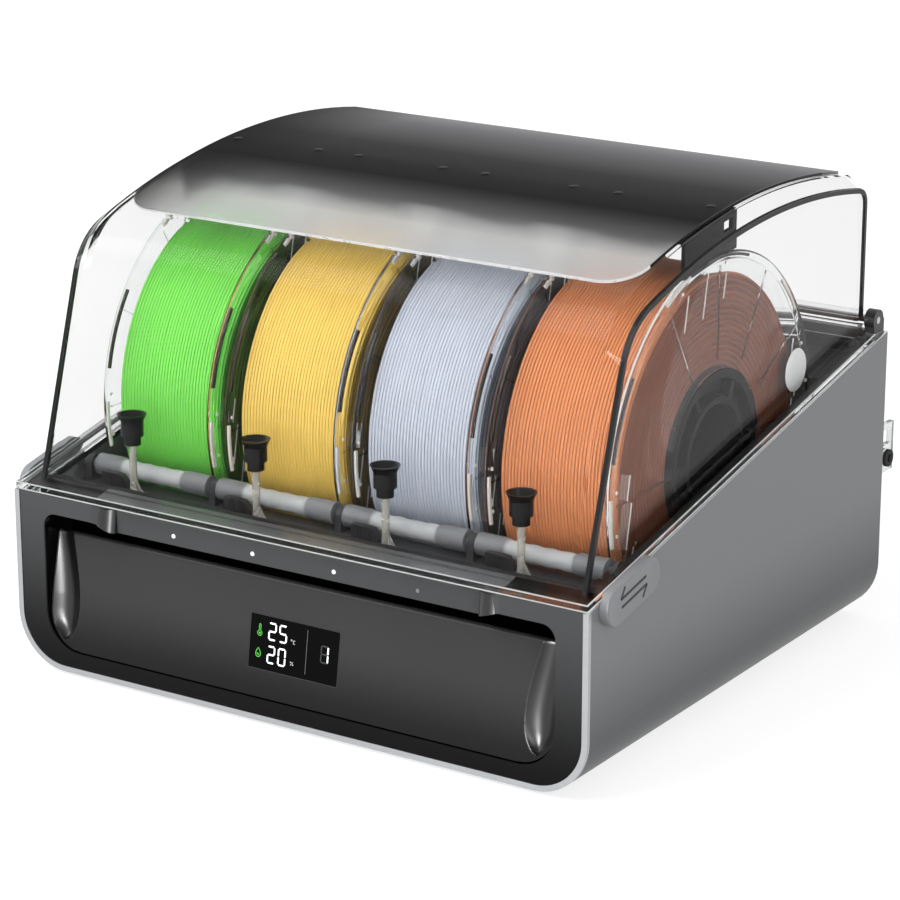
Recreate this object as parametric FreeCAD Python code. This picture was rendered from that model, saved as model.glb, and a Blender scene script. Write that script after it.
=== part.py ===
import FreeCAD, Part
import os
from math import atan, cos, degrees, pi, radians, sin, sqrt
from FreeCAD import Placement, Rotation, Vector

# Four-reel filament dryer box: a U-shaped base with a sloping rim, a clear hinged lid,
# four reels on roller bars and a tilted display fascia. Millimetres, +X right, +Y to the
# rear, +Z up. The origin is on the floor, under the middle of the overall box.

# Base shell
body_width = 360.0
body_depth = 322.0
rim_front_height = 101.0
rim_rear_height = 168.5
corner_radius = 31.0
shell_wall = 3.0
foot_height = 2.0
foot_radius = 9.0
foot_inset = 45.0
trim_width = 3.2
trim_depth = 2.4
seat_gap = 0.2

# Front bezel, fascia and display
bezel_setback = 0.5
bezel_back_wall = 2.5
pocket_side = 19.0
pocket_bottom = 14.0
pocket_below_rim = 10.0
pocket_low_radius = 22.0
pocket_high_radius = 8.0
strip_drop = 4.5
strip_setback = 5.0
strip_end = 47.0
strip_step_length = 14.0
strip_depth = 7.0
fascia_gap = 0.4
fascia_thickness = 3.0
fascia_back_gap = 0.4
finger_gap = 7.5
fascia_lean = 8.4
fascia_setback = 0.6
scoop_radius = 8.0
scoop_depth = 2.0
scoop_inset = 5.0
scoop_low = 12.0
display_width = 57.0
display_height = 29.5
display_centre = 30.0
display_thickness = 1.2
board_width = 90.0
board_height = 28.0
board_low = 20.0
board_thickness = 1.6
board_standoff = 2.0
light_radius = 1.3
light_length = 4.0
light_pitch = 51.3
light_below_rim = 9.5

# Feed deck, funnels and feeders
deck_below_rim = 5.0
deck_thickness = 3.0
deck_rear = 57.0
deck_side_gap = 0.5
deck_latch_gap = 5.5
funnel_from_front = 38.0
funnel_shift = -5.0
funnel_mouth_radius = 8.0
funnel_cup_radius = 6.2
funnel_neck_radius = 4.6
funnel_wall = 1.2
funnel_above_deck = 29.0
funnel_height = 17.0
funnel_lip = 4.0
funnel_neck_height = 5.0
tube_radius = 3.0
tube_bore = 1.3
tube_below_deck = 8.0
gate_length = 17.0
gate_height = 11.0
gate_thickness = 4.0
gate_round = 7.5
fin_length = 8.0
fin_height = 9.0
fin_thickness = 1.5
feeder_side_gap = 15.0
feeder_clear = 0.3

# Reels and windings
reel_count = 4
reel_end_room = 16.0
reel_gap = 9.0
reel_radius = 108.0
reel_floor_gap = 13.5
deck_reel_gap = 3.427
reel_rear_gap = 4.0
flange_thickness = 2.0
flange_bead_width = 4.0
flange_bead_thickness = 3.0
hub_radius = 46.0
hub_bore = 27.0
pack_depth = 12.6
wire_diameter = 1.75
wire_seat = 0.05
wire_turns = 24
wire_bend = 2.2
samples_per_half_turn = 12

# Roller bars
roller_radius = 6.0
roller_end_gap = 1.5
roller_gap = 0.3
axle_radius = 2.5
axle_running_gap = 0.05
front_axle_rise = 9.1
rear_axle_rise = 27.9
post_thickness = 4.0
post_half_depth = 4.5
end_post_inset = 14.0

# Tray, rear deck and what stands on the floor of the base
tray_height = 12.0
tray_thickness = 2.5
tray_boss_radius = 4.0
tray_boss_inset = 30.0
tray_boss_y = 80.0
screw_radius = 1.5
screw_head_radius = 3.0
screw_head_height = 1.8
rear_deck_drop = 9.0
rear_deck_thickness = 3.0
case_length = 100.0
case_height = 9.0
case_inner_x = 10.0
case_outer_inset = 26.0

# Rear fittings
clip_reach = 18.0
clip_inset = 4.0
clip_thickness = 3.0
clip_low = 84.0
clip_height = 28.0
clip_border = 3.0
grommet_radius = 5.0
grommet_bore = 2.4
grommet_length = 7.0
grommet_fit = 0.02
outlet_bore = 2.05
outlet_pitch = 12.0
outlet_x = -60.0
outlet_height = 70.0
outlet_block_height = 16.0
outlet_reach = 7.0
socket_inset = 50.0
socket_height = 60.0
socket_width = 24.0
socket_tall = 12.0
socket_reach = 7.0
socket_wall = 2.0

# Lid
lid_gap = 0.5
lid_wall = 2.5
lid_end_inset = 9.0
lid_bevel = 9.0
lid_front_from_front = 12.0
lid_front_rise = 3.0
lid_lean = 15.6
lid_end_lean = 16.9
lid_from_rear = 14.0
arch_peak_behind_reel = 52.0
reel_head_room = 23.0
arch_radius = 480.0
arch_end_drop = 7.0
arch_front_round = 38.0
arch_rear_round = 9.0
lid_flange_thickness = 4.0
lid_flange_inset = 1.0
lid_flange_front_inset = 0.5
panel_gap = 0.1
panel_thickness = 1.5
panel_side = 3.0
panel_front = 71.0
panel_from_lid_rear = 12.0
panel_corner = 20.0
bar_before_reel = 30.0
bar_width = 44.0
bar_thickness = 4.0
bar_side = 5.0
stop_width = 34.0
stop_reel_gap = 4.0
stop_rear_trim = 12.0
lid_screw_spacing = 55.0
lid_screw_from_bar = 37.0
lid_screw_length = 3.0

# Hinge
hinge_from_rear = 7.0
hinge_rise = 7.5
hinge_pin_radius = 2.0
hinge_pin_fit = 0.02
hinge_running_gap = 0.05
barrel_radius = 4.5
barrel_length = 67.0
knuckle_gap = 0.5
knuckle_radius = 6.0
knuckle_width = 6.0
knuckle_drop = 20.0
web_thickness = 4.0

# Rim seal
seal_side_gap = 0.3
seal_width = 5.0
seal_depth = 5.0
seal_proud = 0.2

# Side latches
latch_from_front = 35.0
latch_below_rim = 5.0
latch_length = 52.0
latch_height = 20.0
latch_thickness = 5.0
latch_gap = 0.3
latch_travel = 10.0
tongue_length = 16.0
tongue_height = 6.0
tongue_drop = 6.0
tongue_head = 2.0
tongue_head_height = 10.0

# Places that follow from the sizes above
front_y = -(body_depth + clip_reach) / 2
rear_y = front_y + body_depth
half_width = body_width / 2
rim_slope = (rim_rear_height - rim_front_height) / body_depth
rim_angle = degrees(atan(rim_slope))
far = 2 * body_width

pocket_half_width = half_width - pocket_side
pocket_top = rim_front_height - pocket_below_rim
strip_middle_half = pocket_half_width - strip_end
strip_bottom = pocket_top - strip_drop
fascia_low = pocket_bottom + fascia_gap
fascia_height = (strip_bottom - finger_gap - fascia_low) / cos(radians(fascia_lean))
fascia_reach = fascia_height * sin(radians(fascia_lean)) + fascia_thickness * cos(radians(fascia_lean))
bezel_front = front_y + bezel_setback
pocket_back = bezel_front + fascia_setback + fascia_reach + fascia_back_gap
bezel_back = pocket_back + bezel_back_wall
light_height = rim_front_height - light_below_rim

deck_top = rim_front_height - deck_below_rim
deck_rear_y = front_y + deck_rear
deck_half = half_width - shell_wall - deck_side_gap
funnel_bottom = deck_top + funnel_above_deck
funnel_top = funnel_bottom + funnel_height
tube_low = deck_top - tube_below_deck
tray_top = tray_height + tray_thickness

reel_pitch = (body_width - 2 * reel_end_room) / reel_count
reel_xs = [(i - (reel_count - 1) / 2) * reel_pitch for i in range(reel_count)]
reel_width = reel_pitch - reel_gap
reel_centre_height = tray_top + reel_floor_gap + reel_radius
reel_y = deck_rear_y + sqrt((reel_radius + deck_reel_gap) ** 2 - (reel_centre_height - deck_top) ** 2)
reel_top = reel_centre_height + reel_radius
pack_radius = reel_radius - pack_depth
roller_orbit = reel_radius + roller_radius + roller_gap
front_axle_height = deck_top + front_axle_rise
rear_axle_height = tray_top + rear_axle_rise
end_post_x = half_width - end_post_inset
tray_boss_x = half_width - tray_boss_inset
rear_deck_front = reel_y + reel_radius + reel_rear_gap
clip_x = half_width - clip_inset
socket_x = socket_inset - half_width

lid_end_half = half_width - lid_end_inset
lid_arch_half = lid_end_half - lid_bevel
lid_front_y = front_y + lid_front_from_front
lid_front_base = rim_front_height + lid_front_rise
lid_rear_y = rear_y - lid_from_rear
arch_peak_y = reel_y + arch_peak_behind_reel
arch_peak_height = reel_top + reel_head_room
panel_half_width = lid_arch_half - panel_side
bar_front_y = reel_y - bar_before_reel
bar_rear_y = bar_front_y + bar_width
bar_half_width = lid_arch_half - bar_side
hinge_y = rear_y - hinge_from_rear
hinge_height = rim_rear_height + hinge_rise
barrel_outer = lid_end_half
barrel_inner = barrel_outer - barrel_length


def rim_z(y):
    """Height of the base's rim at y."""
    return rim_front_height + (y - front_y) * rim_slope


def box(x0, x1, y0, y1, z0, z1):
    return Part.makeBox(x1 - x0, y1 - y0, z1 - z0, Vector(x0, y0, z0))


def cylinder(centre, radius, length, axis):
    return Part.makeCylinder(radius, length, Vector(*centre), Vector(*axis))


def rod_x(x0, x1, y, z, radius):
    return cylinder((x0, y, z), radius, x1 - x0, (1, 0, 0))


def tube_x(x0, x1, y, z, outer, inner):
    return rod_x(x0, x1, y, z, outer).cut(rod_x(x0 - 1, x1 + 1, y, z, inner))


def prism_x(points, x0, x1):
    """Closed outline of (y, z) points carried along X."""
    ring = [Vector(x0, y, z) for y, z in points]
    face = Part.Face(Part.makePolygon(ring + ring[:1]))
    return face.extrude(Vector(x1 - x0, 0, 0))


def prism_z(points, z0, z1):
    """Closed outline of (x, y) points carried along Z."""
    ring = [Vector(x, y, z0) for x, y in points]
    face = Part.Face(Part.makePolygon(ring + ring[:1]))
    return face.extrude(Vector(0, 0, z1 - z0))


def rounded_face(x0, x1, z0, z1, low_radius, high_radius, y):
    """Upright rectangle at y with its lower and upper corners rounded."""
    corners = [(x1, z0, low_radius), (x1, z1, high_radius), (x0, z1, high_radius), (x0, z0, low_radius)]
    turns = [(0, 1), (-1, 0), (0, -1), (1, 0)]
    edges = []
    stops = []
    for (x, z, r), (out_x, out_z), (in_x, in_z) in zip(corners, turns, turns[-1:] + turns[:-1]):
        start = Vector(x - in_x * r, y, z - in_z * r)
        end = Vector(x + out_x * r, y, z + out_z * r)
        centre = Vector(x - in_x * r + out_x * r, y, z - in_z * r + out_z * r)
        middle = centre + (Vector(x, y, z) - centre) * (1 / sqrt(2))
        stops.append((start, middle, end, r))
    for i, (start, middle, end, r) in enumerate(stops):
        if r > 0:
            edges.append(Part.Arc(start, middle, end).toShape())
        edges.append(Part.LineSegment(end, stops[(i + 1) % 4][0]).toShape())
    return Part.Face(Part.Wire(edges))


def rounded_block(x0, x1, z0, z1, low_radius, high_radius, y0, y1):
    return rounded_face(x0, x1, z0, z1, low_radius, high_radius, y0).extrude(Vector(0, y1 - y0, 0))


def u_block(inset, y0, y1):
    """Solid of the base's U section, set in all round, taller than the rim."""
    side = half_width - inset
    low = foot_height + inset
    return rounded_block(-side, side, low, far, corner_radius - inset, 0, y0, y1)


def between_rim_planes(low, high, y0, y1, half):
    """Slab along the sloping rim, from low to high above it."""
    points = [(y0, rim_z(y0) + low), (y1, rim_z(y1) + low), (y1, rim_z(y1) + high), (y0, rim_z(y0) + high)]
    return prism_x(points, -half, half)


def below_rim(offset):
    return between_rim_planes(-far, offset, front_y - far, rear_y + far, far)


def plan_ring(x, y0, y1, width, z0, z1):
    """Rectangular frame seen from above, cut later by the rim planes."""
    outer = box(-x, x, y0, y1, z0, z1)
    return outer.cut(box(-x + width, x - width, y0 + width, y1 - width, z0 - 1, z1 + 1))


def save(name, *shapes):
    """Write the solids of one node."""
    solids = [solid for shape in shapes for solid in shape.Solids]
    shape = solids[0] if len(solids) == 1 else Part.makeCompound(solids)
    assert shape.isValid(), name
    shape.exportStep("parts/" + name + ".step")


# Base shell, trim, feet and hinge knuckles
def latch_place(side):
    """Placement of a latch: on the outside of a wall, turned along the rim."""
    y = front_y + latch_from_front
    turn = Rotation(Vector(1, 0, 0), rim_angle)
    return Placement(Vector(side * half_width, y, rim_z(y) - latch_below_rim), turn)


def latch_slot(side):
    """Slot that a latch's tongue runs in, cut through the wall along the rim."""
    low = -tongue_length / 2 - latch_gap
    high = tongue_length / 2 + latch_travel + latch_gap
    tall = tongue_height / 2 + latch_gap
    slot = box(-2 * shell_wall, 2 * shell_wall, low, high, -tongue_drop - tall, -tongue_drop + tall)
    slot.Placement = latch_place(side)
    return slot


def knuckle(x0, x1):
    """Hinge knuckle: a round eye over a leg that runs down into the rear wall."""
    eye = rod_x(x0, x1, hinge_y, hinge_height, knuckle_radius)
    leg = box(x0, x1, hinge_y - knuckle_radius + 1, rear_y, hinge_height - knuckle_drop, hinge_height)
    shape = eye.fuse(leg)
    return shape.cut(rod_x(x0 - 1, x1 + 1, hinge_y, hinge_height, hinge_pin_radius + hinge_pin_fit))


def knuckle_spans():
    inner = (barrel_inner - knuckle_gap - knuckle_width, barrel_inner - knuckle_gap)
    outer = (barrel_outer + knuckle_gap, barrel_outer + knuckle_gap + knuckle_width)
    spans = []
    for low, high in (inner, outer):
        spans.append((low, high))
        spans.append((-high, -low))
    return spans


def outlet_xs():
    return [outlet_x + (i - (reel_count - 1) / 2) * outlet_pitch for i in range(reel_count)]


def base_shell():
    start = front_y + trim_depth
    shell = u_block(0, start, rear_y).cut(u_block(shell_wall, start - 1, rear_y - shell_wall))
    shell = shell.common(below_rim(0))
    for x in (-tray_boss_x, 0, tray_boss_x):
        for y in (reel_y - tray_boss_y, reel_y + tray_boss_y):
            floor = foot_height + shell_wall / 2
            boss = cylinder((x, y, floor), tray_boss_radius, tray_height - floor, (0, 0, 1))
            pilot = cylinder((x, y, floor + shell_wall), screw_radius, far, (0, 0, 1))
            shell = shell.fuse(boss).cut(pilot)
    for x0, x1 in knuckle_spans():
        shell = shell.fuse(knuckle(x0, x1))
    for side in (-1, 1):
        shell = shell.cut(latch_slot(side))
    for x in outlet_xs():
        shell = shell.cut(cylinder((x, rear_y - 2 * shell_wall, outlet_height), outlet_bore, far, (0, 1, 0)))
    return shell.removeSplitter()


def front_edge_trim():
    trim = u_block(0, front_y, front_y + trim_depth)
    trim = trim.cut(u_block(trim_width, front_y - 1, front_y + trim_depth + 1))
    return trim.common(below_rim(0))


def feet():
    x = half_width - foot_inset
    ys = (front_y + foot_inset, rear_y - foot_inset)
    return [cylinder((sx * x, y, 0), foot_radius, foot_height, (0, 0, 1)) for sx in (-1, 1) for y in ys]


# Front bezel with its hanging strip, fascia, display and lights
def strip_block():
    """Top strip: its middle is set back and hangs lower, with a slanted step at each end."""
    inner = strip_middle_half
    outer = inner + strip_step_length
    front = bezel_front
    back = bezel_front + strip_setback + strip_depth
    side = pocket_half_width + 1
    plan = [(-side, back), (-side, front), (-outer, front), (-inner, front + strip_setback),
            (inner, front + strip_setback), (outer, front), (side, front), (side, back)]
    low = strip_bottom
    high = far
    face = [(-side, high), (-side, pocket_top), (-outer, pocket_top), (-inner, low),
            (inner, low), (outer, pocket_top), (side, pocket_top), (side, high)]
    ring = [Vector(x, front - 1, z) for x, z in face]
    upright = Part.Face(Part.makePolygon(ring + ring[:1])).extrude(Vector(0, strip_depth + far, 0))
    return prism_z(plan, low - 1, high).common(upright)


def front_bezel():
    bezel = u_block(trim_width + seat_gap, bezel_front, bezel_back)
    half = pocket_half_width
    pocket = rounded_block(-half, half, pocket_bottom, pocket_top, pocket_low_radius, pocket_high_radius,
                           bezel_front - 1, pocket_back)
    over = box(-strip_middle_half - strip_step_length, strip_middle_half + strip_step_length,
               bezel_front - 1, pocket_back, pocket_top - pocket_high_radius, far)
    bezel = bezel.cut(pocket).cut(over).fuse(strip_block())
    for x in light_xs():
        hole = cylinder((x, bezel_front - 1, light_height), light_radius + seat_gap / 2, far, (0, 1, 0))
        bezel = bezel.cut(hole.common(strip_block()))
    for x in (-board_width / 2 + board_standoff, board_width / 2 - board_standoff):
        for z in (board_low + board_standoff, board_low + board_height - board_standoff):
            bezel = bezel.fuse(cylinder((x, pocket_back - board_standoff, z), board_standoff,
                                        board_standoff + 1, (0, 1, 0)))
    return bezel.common(below_rim(-seat_gap)).removeSplitter()


def light_xs():
    return [(i - (reel_count - 1) / 2) * light_pitch for i in range(reel_count)]


def status_lights():
    y = bezel_front + strip_setback
    return [cylinder((x, y, light_height), light_radius, light_length, (0, 1, 0)) for x in light_xs()]


def on_fascia(shape):
    """Move a shape made upright behind y = 0, z = 0 on to the tilted fascia."""
    turn = Rotation(Vector(1, 0, 0), -fascia_lean)
    shape.Placement = Placement(Vector(0, bezel_front + fascia_setback, fascia_low), turn)
    return shape


def display_block(clear, depth):
    half = display_width / 2 + clear
    low = display_centre - display_height / 2 - clear
    return box(-half, half, -1 if clear else 0, depth, low, low + display_height + 2 * clear)


def display_fascia():
    half = pocket_half_width - fascia_gap
    plate = box(-half, half, 0, fascia_thickness, 0, fascia_height)
    for side in (-1, 1):
        axis_x = side * (half - scoop_inset)
        axis_y = scoop_depth - scoop_radius
        scoop = cylinder((axis_x, axis_y, scoop_low), scoop_radius, far, (0, 0, 1))
        end = Part.makeSphere(scoop_radius, Vector(axis_x, axis_y, scoop_low))
        plate = plate.cut(scoop.fuse(end))
    plate = on_fascia(plate.cut(display_block(seat_gap, display_thickness)))
    outline = rounded_block(-half, half, fascia_low, far, pocket_low_radius, 0,
                            bezel_front, bezel_back)
    return plate.common(outline)


def display_window():
    return on_fascia(display_block(0, display_thickness))


def control_board():
    y = pocket_back - board_standoff - board_thickness
    return box(-board_width / 2, board_width / 2, y, y + board_thickness, board_low, board_low + board_height)


# Feed deck with its axle posts, funnels, tubes and feeders
def post_xs():
    inner = [(i - (reel_count - 2) / 2) * reel_pitch for i in range(reel_count - 1)]
    return [-end_post_x] + inner + [end_post_x]


def roller_centre(end):
    """Axle place at the end of the box: at its own height, as far from the reel's axis as the roller needs."""
    height = front_axle_height if end == "front" else rear_axle_height
    reach = sqrt(roller_orbit ** 2 - (reel_centre_height - height) ** 2)
    return (reel_y - reach if end == "front" else reel_y + reach), height


def axle_post(x, y, z, low):
    """Post from low up to an axle, with a round top and the axle's seat."""
    half = post_thickness / 2
    leg = box(x - half, x + half, y - post_half_depth, y + post_half_depth, low, z)
    top = rod_x(x - half, x + half, y, z, post_half_depth)
    return leg.fuse(top).cut(rod_x(x - 1 - half, x + 1 + half, y, z, axle_radius + hinge_pin_fit))


def feed_deck():
    rear = deck_rear_y
    skirt_front = rear - deck_thickness
    low = deck_top - deck_thickness
    half = half_width - shell_wall - deck_latch_gap
    deck = box(-half, half, bezel_back + seat_gap, rear, low, deck_top)
    deck = deck.fuse(box(-end_post_x, end_post_x, skirt_front, rear, tray_height, deck_top))
    y, z = roller_centre("front")
    for x in post_xs():
        deck = deck.fuse(axle_post(x, y, z, low))
    for x, y in funnel_places():
        deck = deck.cut(cylinder((x, y, low - 1), tube_radius + seat_gap, far, (0, 0, 1)))
    return deck.removeSplitter()


def funnel_places():
    return [(x + funnel_shift, front_y + funnel_from_front) for x in reel_xs]


def feed_funnel(x, y):
    """Turned cup with a flared lip over a neck that takes the tube."""
    neck_top = funnel_bottom + funnel_neck_height
    lip_low = funnel_top - funnel_lip
    inner_cup = funnel_cup_radius - funnel_wall
    socket = tube_radius + seat_gap / 4
    outline = [(socket, funnel_bottom), (funnel_neck_radius, funnel_bottom), (funnel_neck_radius, neck_top),
               (funnel_cup_radius, neck_top), (funnel_cup_radius, lip_low), (funnel_mouth_radius, funnel_top),
               (funnel_mouth_radius - funnel_wall, funnel_top), (inner_cup, lip_low),
               (inner_cup, neck_top + funnel_wall), (tube_bore, neck_top + funnel_wall),
               (tube_bore, neck_top), (socket, neck_top)]
    ring = [Vector(r, 0, z) for r, z in outline]
    shape = Part.Face(Part.makePolygon(ring + ring[:1])).revolve(Vector(0, 0, 0), Vector(0, 0, 1), 360)
    shape.translate(Vector(x, y, 0))
    return shape


def feed_tube(x, y):
    """Clear tube from the feeder to its funnel, with a small upright fin on the deck."""
    top = funnel_bottom + funnel_neck_height - seat_gap
    tube = cylinder((x, y, tube_low), tube_radius, top - tube_low, (0, 0, 1))
    half = fin_thickness / 2
    fin = prism_fin(x + tube_radius - 1, y - half, y + half)
    tube = tube.fuse(fin)
    return tube.cut(cylinder((x, y, tube_low - 1), tube_bore, far, (0, 0, 1)))


def prism_fin(x, y0, y1):
    ring = [Vector(x, y0, deck_top), Vector(x + fin_length, y0, deck_top),
            Vector(x + fin_length, y0, deck_top + fin_thickness), Vector(x, y0, deck_top + fin_height)]
    return Part.Face(Part.makePolygon(ring + ring[:1])).extrude(Vector(0, y1 - y0, 0))


def feed_gate(x, y):
    """Dark upright tab beside the tube, rounded at its tube end."""
    right = x - tube_radius - seat_gap
    left = right - gate_length
    half = gate_thickness / 2
    tab = box(left, right, y - half, y + half, deck_top, deck_top + gate_height)
    edges = [e for e in tab.Edges if abs(e.Length - gate_thickness) < 1e-6]
    high = [e for e in edges if e.CenterOfMass.z > deck_top + gate_height - 1 and e.CenterOfMass.x > right - 1]
    return tab.makeFillet(gate_round, high)


def feeder_modules():
    y0 = bezel_back + seat_gap
    y1 = deck_rear_y - deck_thickness - feeder_clear
    half = reel_pitch / 2 - feeder_side_gap
    room = u_block(shell_wall, y0, y1)
    modules = []
    for (x, y), reel_x in zip(funnel_places(), reel_xs):
        body = box(reel_x - half, reel_x + half, y0, y1, foot_height + shell_wall,
                   deck_top - deck_thickness - feeder_clear).common(room)
        way = cylinder((x, y, tube_low - feeder_clear), tube_radius + seat_gap, far, (0, 0, 1))
        modules.append(body.cut(way))
    return modules


# Reel tray, its screws, desiccant cases and rear deck
def reel_tray():
    y0 = deck_rear_y + seat_gap
    y1 = rear_deck_front - seat_gap
    tray = box(-deck_half, deck_half, y0, y1, tray_height, tray_top)
    corner = u_block(shell_wall + deck_side_gap, y0, y1)
    tray = tray.common(corner)
    y, z = roller_centre("rear")
    for x in post_xs():
        tray = tray.fuse(axle_post(x, y, z, tray_height + tray_thickness / 2))
    for x, y in tray_screw_places():
        tray = tray.cut(cylinder((x, y, 0), screw_radius + seat_gap, far, (0, 0, 1)).common(
            box(-far, far, -far, far, tray_height - 1, tray_top + 1)))
    return tray.removeSplitter()


def tray_screw_places():
    ys = (reel_y - tray_boss_y, reel_y + tray_boss_y)
    return [(x, y) for x in (-tray_boss_x, 0, tray_boss_x) for y in ys]


def tray_screw(x, y):
    low = foot_height + 2 * shell_wall
    shank = cylinder((x, y, low), screw_radius - seat_gap / 4, tray_top - low, (0, 0, 1))
    return shank.fuse(cylinder((x, y, tray_top), screw_head_radius, screw_head_height, (0, 0, 1)))


def desiccant_cases():
    half = case_length / 2
    outer = half_width - case_outer_inset
    return [box(min(s * case_inner_x, s * outer), max(s * case_inner_x, s * outer),
                reel_y - half, reel_y + half, tray_top, tray_top + case_height) for s in (-1, 1)]


def rear_deck():
    """Cover over the rear bay: a sloping top below the rim and a skirt down to the tray."""
    y0 = rear_deck_front
    y1 = rear_y - shell_wall - seat_gap
    top = -rear_deck_drop
    deck = between_rim_planes(top - rear_deck_thickness, top, y0, y1, deck_half)
    skirt = box(-deck_half, deck_half, y0, y0 + rear_deck_thickness, tray_height, far)
    skirt = skirt.common(below_rim(top)).common(u_block(shell_wall + deck_side_gap, y0 - 1, y1))
    deck = deck.fuse(skirt).removeSplitter()
    for x0, x1 in knuckle_spans():
        deck = deck.cut(box(x0 - 1, x1 + 1, hinge_y - knuckle_radius, rear_y, 0, far))
    return deck


# Rear fittings
def rear_clip():
    """Clear loop that stands out of the rear wall, with a round seat for its grommet."""
    half = clip_thickness / 2
    plate = box(clip_x - half, clip_x + half, rear_y, rear_y + clip_reach, clip_low, clip_low + clip_height)
    border = clip_border
    seat_top = clip_low + 2 * (grommet_radius + border)
    loop = box(clip_x - far, clip_x + far, rear_y + border, rear_y + clip_reach - border,
               seat_top, clip_low + clip_height - border)
    y, z = grommet_centre()
    plate = plate.cut(loop)
    return plate.cut(rod_x(clip_x - clip_thickness, clip_x + clip_thickness, y, z, grommet_radius + grommet_fit))


def grommet_centre():
    return rear_y + clip_reach - grommet_radius - clip_border, clip_low + grommet_radius + clip_border


def clip_grommet():
    y, z = grommet_centre()
    half = grommet_length / 2
    return tube_x(clip_x - half, clip_x + half, y, z, grommet_radius, grommet_bore)


def outlet_block():
    half = outlet_pitch * reel_count / 2
    tall = outlet_block_height / 2
    block = box(outlet_x - half, outlet_x + half, rear_y, rear_y + outlet_reach,
                outlet_height - tall, outlet_height + tall)
    for x in outlet_xs():
        block = block.cut(cylinder((x, rear_y - 1, outlet_height), outlet_bore, far, (0, 1, 0)))
    return block


def power_socket():
    half = socket_width / 2
    tall = socket_tall / 2
    block = box(socket_x - half, socket_x + half, rear_y, rear_y + socket_reach,
                socket_height - tall, socket_height + tall)
    wall = socket_wall
    hollow = box(socket_x - half + wall, socket_x + half - wall, rear_y + wall, rear_y + 2 * socket_reach,
                 socket_height - tall + wall, socket_height + tall - wall)
    return block.cut(hollow)


def hinge_pins():
    low = barrel_inner - knuckle_gap - knuckle_width
    high = barrel_outer + knuckle_gap + knuckle_width
    return [rod_x(min(s * low, s * high), max(s * low, s * high), hinge_y, hinge_height, hinge_pin_radius)
            for s in (-1, 1)]


def rim_seal():
    x = half_width - shell_wall - seal_side_gap
    y0 = bezel_back + seal_side_gap
    y1 = lid_rear_y
    ring = plan_ring(x, y0, y1, seal_width, 0, far)
    return ring.common(between_rim_planes(-seal_depth, seal_proud, y0 - 1, y1 + 1, far))


# Reels and windings
def reel_flange(x, side):
    """Clear disc with a bead round its rim, on the hub."""
    outer = x + side * reel_width / 2
    inner = outer - side * flange_thickness
    bead = outer - side * flange_bead_thickness
    disc = tube_x(min(inner, outer), max(inner, outer), reel_y, reel_centre_height,
                  reel_radius, hub_radius + seat_gap / 4)
    ring = tube_x(min(bead, outer), max(bead, outer), reel_y, reel_centre_height,
                  reel_radius, reel_radius - flange_bead_width)
    return disc.fuse(ring).removeSplitter()


def reel_hub(x):
    half = reel_width / 2
    return tube_x(x - half, x + half, reel_y, reel_centre_height, hub_radius, hub_bore)


def filament_pack(x):
    half = reel_width / 2 - flange_thickness - seat_gap
    return tube_x(x - half, x + half, reel_y, reel_centre_height, pack_radius, hub_radius + seat_gap / 4)


def wire_point(radius, turn, along):
    """Point on the winding: turn in whole turns, along the reel's axis in X."""
    angle = 2 * pi * turn
    return Vector(along, reel_y + radius * cos(angle), reel_centre_height + radius * sin(angle))


def filament_turns(x):
    """Outer layer as one wire: half-turn arcs that step along the reel, each end bent into a flange."""
    radius = pack_radius + wire_diameter / 2 + wire_seat
    reach = reel_width / 2 - flange_thickness
    span = 2 * (reach - wire_bend - wire_diameter)
    pitch = span / wire_turns
    start = x - span / 2
    edges = []
    for half in range(2 * wire_turns):
        a = wire_point(radius, half / 2, start + half * pitch / 2)
        b = wire_point(radius, half / 2 + 0.25, start + (half + 0.5) * pitch / 2)
        c = wire_point(radius, half / 2 + 0.5, start + (half + 1) * pitch / 2)
        edges.append(Part.Arc(a, b, c).toShape())
    first = wire_point(radius, 0, start)
    last = wire_point(radius, wire_turns, start + span)
    edges = wire_end(first, -1) + edges + wire_end(last, 1)
    path = Part.Wire(edges)
    nose = path.Vertexes[0].Point
    circle = Part.makeCircle(wire_diameter / 2, nose, Vector(1, 0, 0))
    shell = Part.BRepOffsetAPI.MakePipeShell(path)
    shell.add(Part.Wire(circle))
    shell.build()
    shell.makeSolid()
    solid = shell.shape()
    ratio = solid.Volume / (path.Length * pi * wire_diameter ** 2 / 4)
    print("winding: %d turns, least gap %.2f, volume ratio %.4f" % (wire_turns, least_gap(path), ratio))
    return solid


def least_gap(path):
    """Least clear distance between points of the wire that lie a half turn or more apart along it."""
    places = []
    travelled = 0
    for edge in path.Edges:
        step = edge.Length / samples_per_half_turn
        for i, point in enumerate(edge.discretize(Number=samples_per_half_turn + 1)[:-1]):
            places.append((travelled + i * step, point))
        travelled += edge.Length
    half_turn = pi * pack_radius
    nearest = min((a - b).Length for i, (s, a) in enumerate(places) for t, b in places[i:] if t - s > half_turn)
    return nearest - wire_diameter


def wire_end(point, side):
    """Quarter bend from the turn to the reel's axis, then a straight run to the flange."""
    tangent = Vector(0, 0, side)
    axis = Vector(side, 0, 0)
    corner = point + tangent * wire_bend + axis * wire_bend
    centre = point + axis * wire_bend
    middle = centre + (tangent - axis) * (wire_bend / sqrt(2))
    tip = corner + axis * wire_diameter
    bend = Part.Arc(point, middle, corner).toShape()
    run = Part.LineSegment(corner, tip).toShape()
    if side > 0:
        return [bend, run]
    bend = Part.Arc(corner, middle, point).toShape()
    run = Part.LineSegment(tip, corner).toShape()
    return [run, bend]


# Roller bars
def roller_axles():
    half = end_post_x + post_thickness
    rods = []
    for end in ("front", "rear"):
        y, z = roller_centre(end)
        rods.append(rod_x(-half, half, y, z, axle_radius))
    return rods


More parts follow.
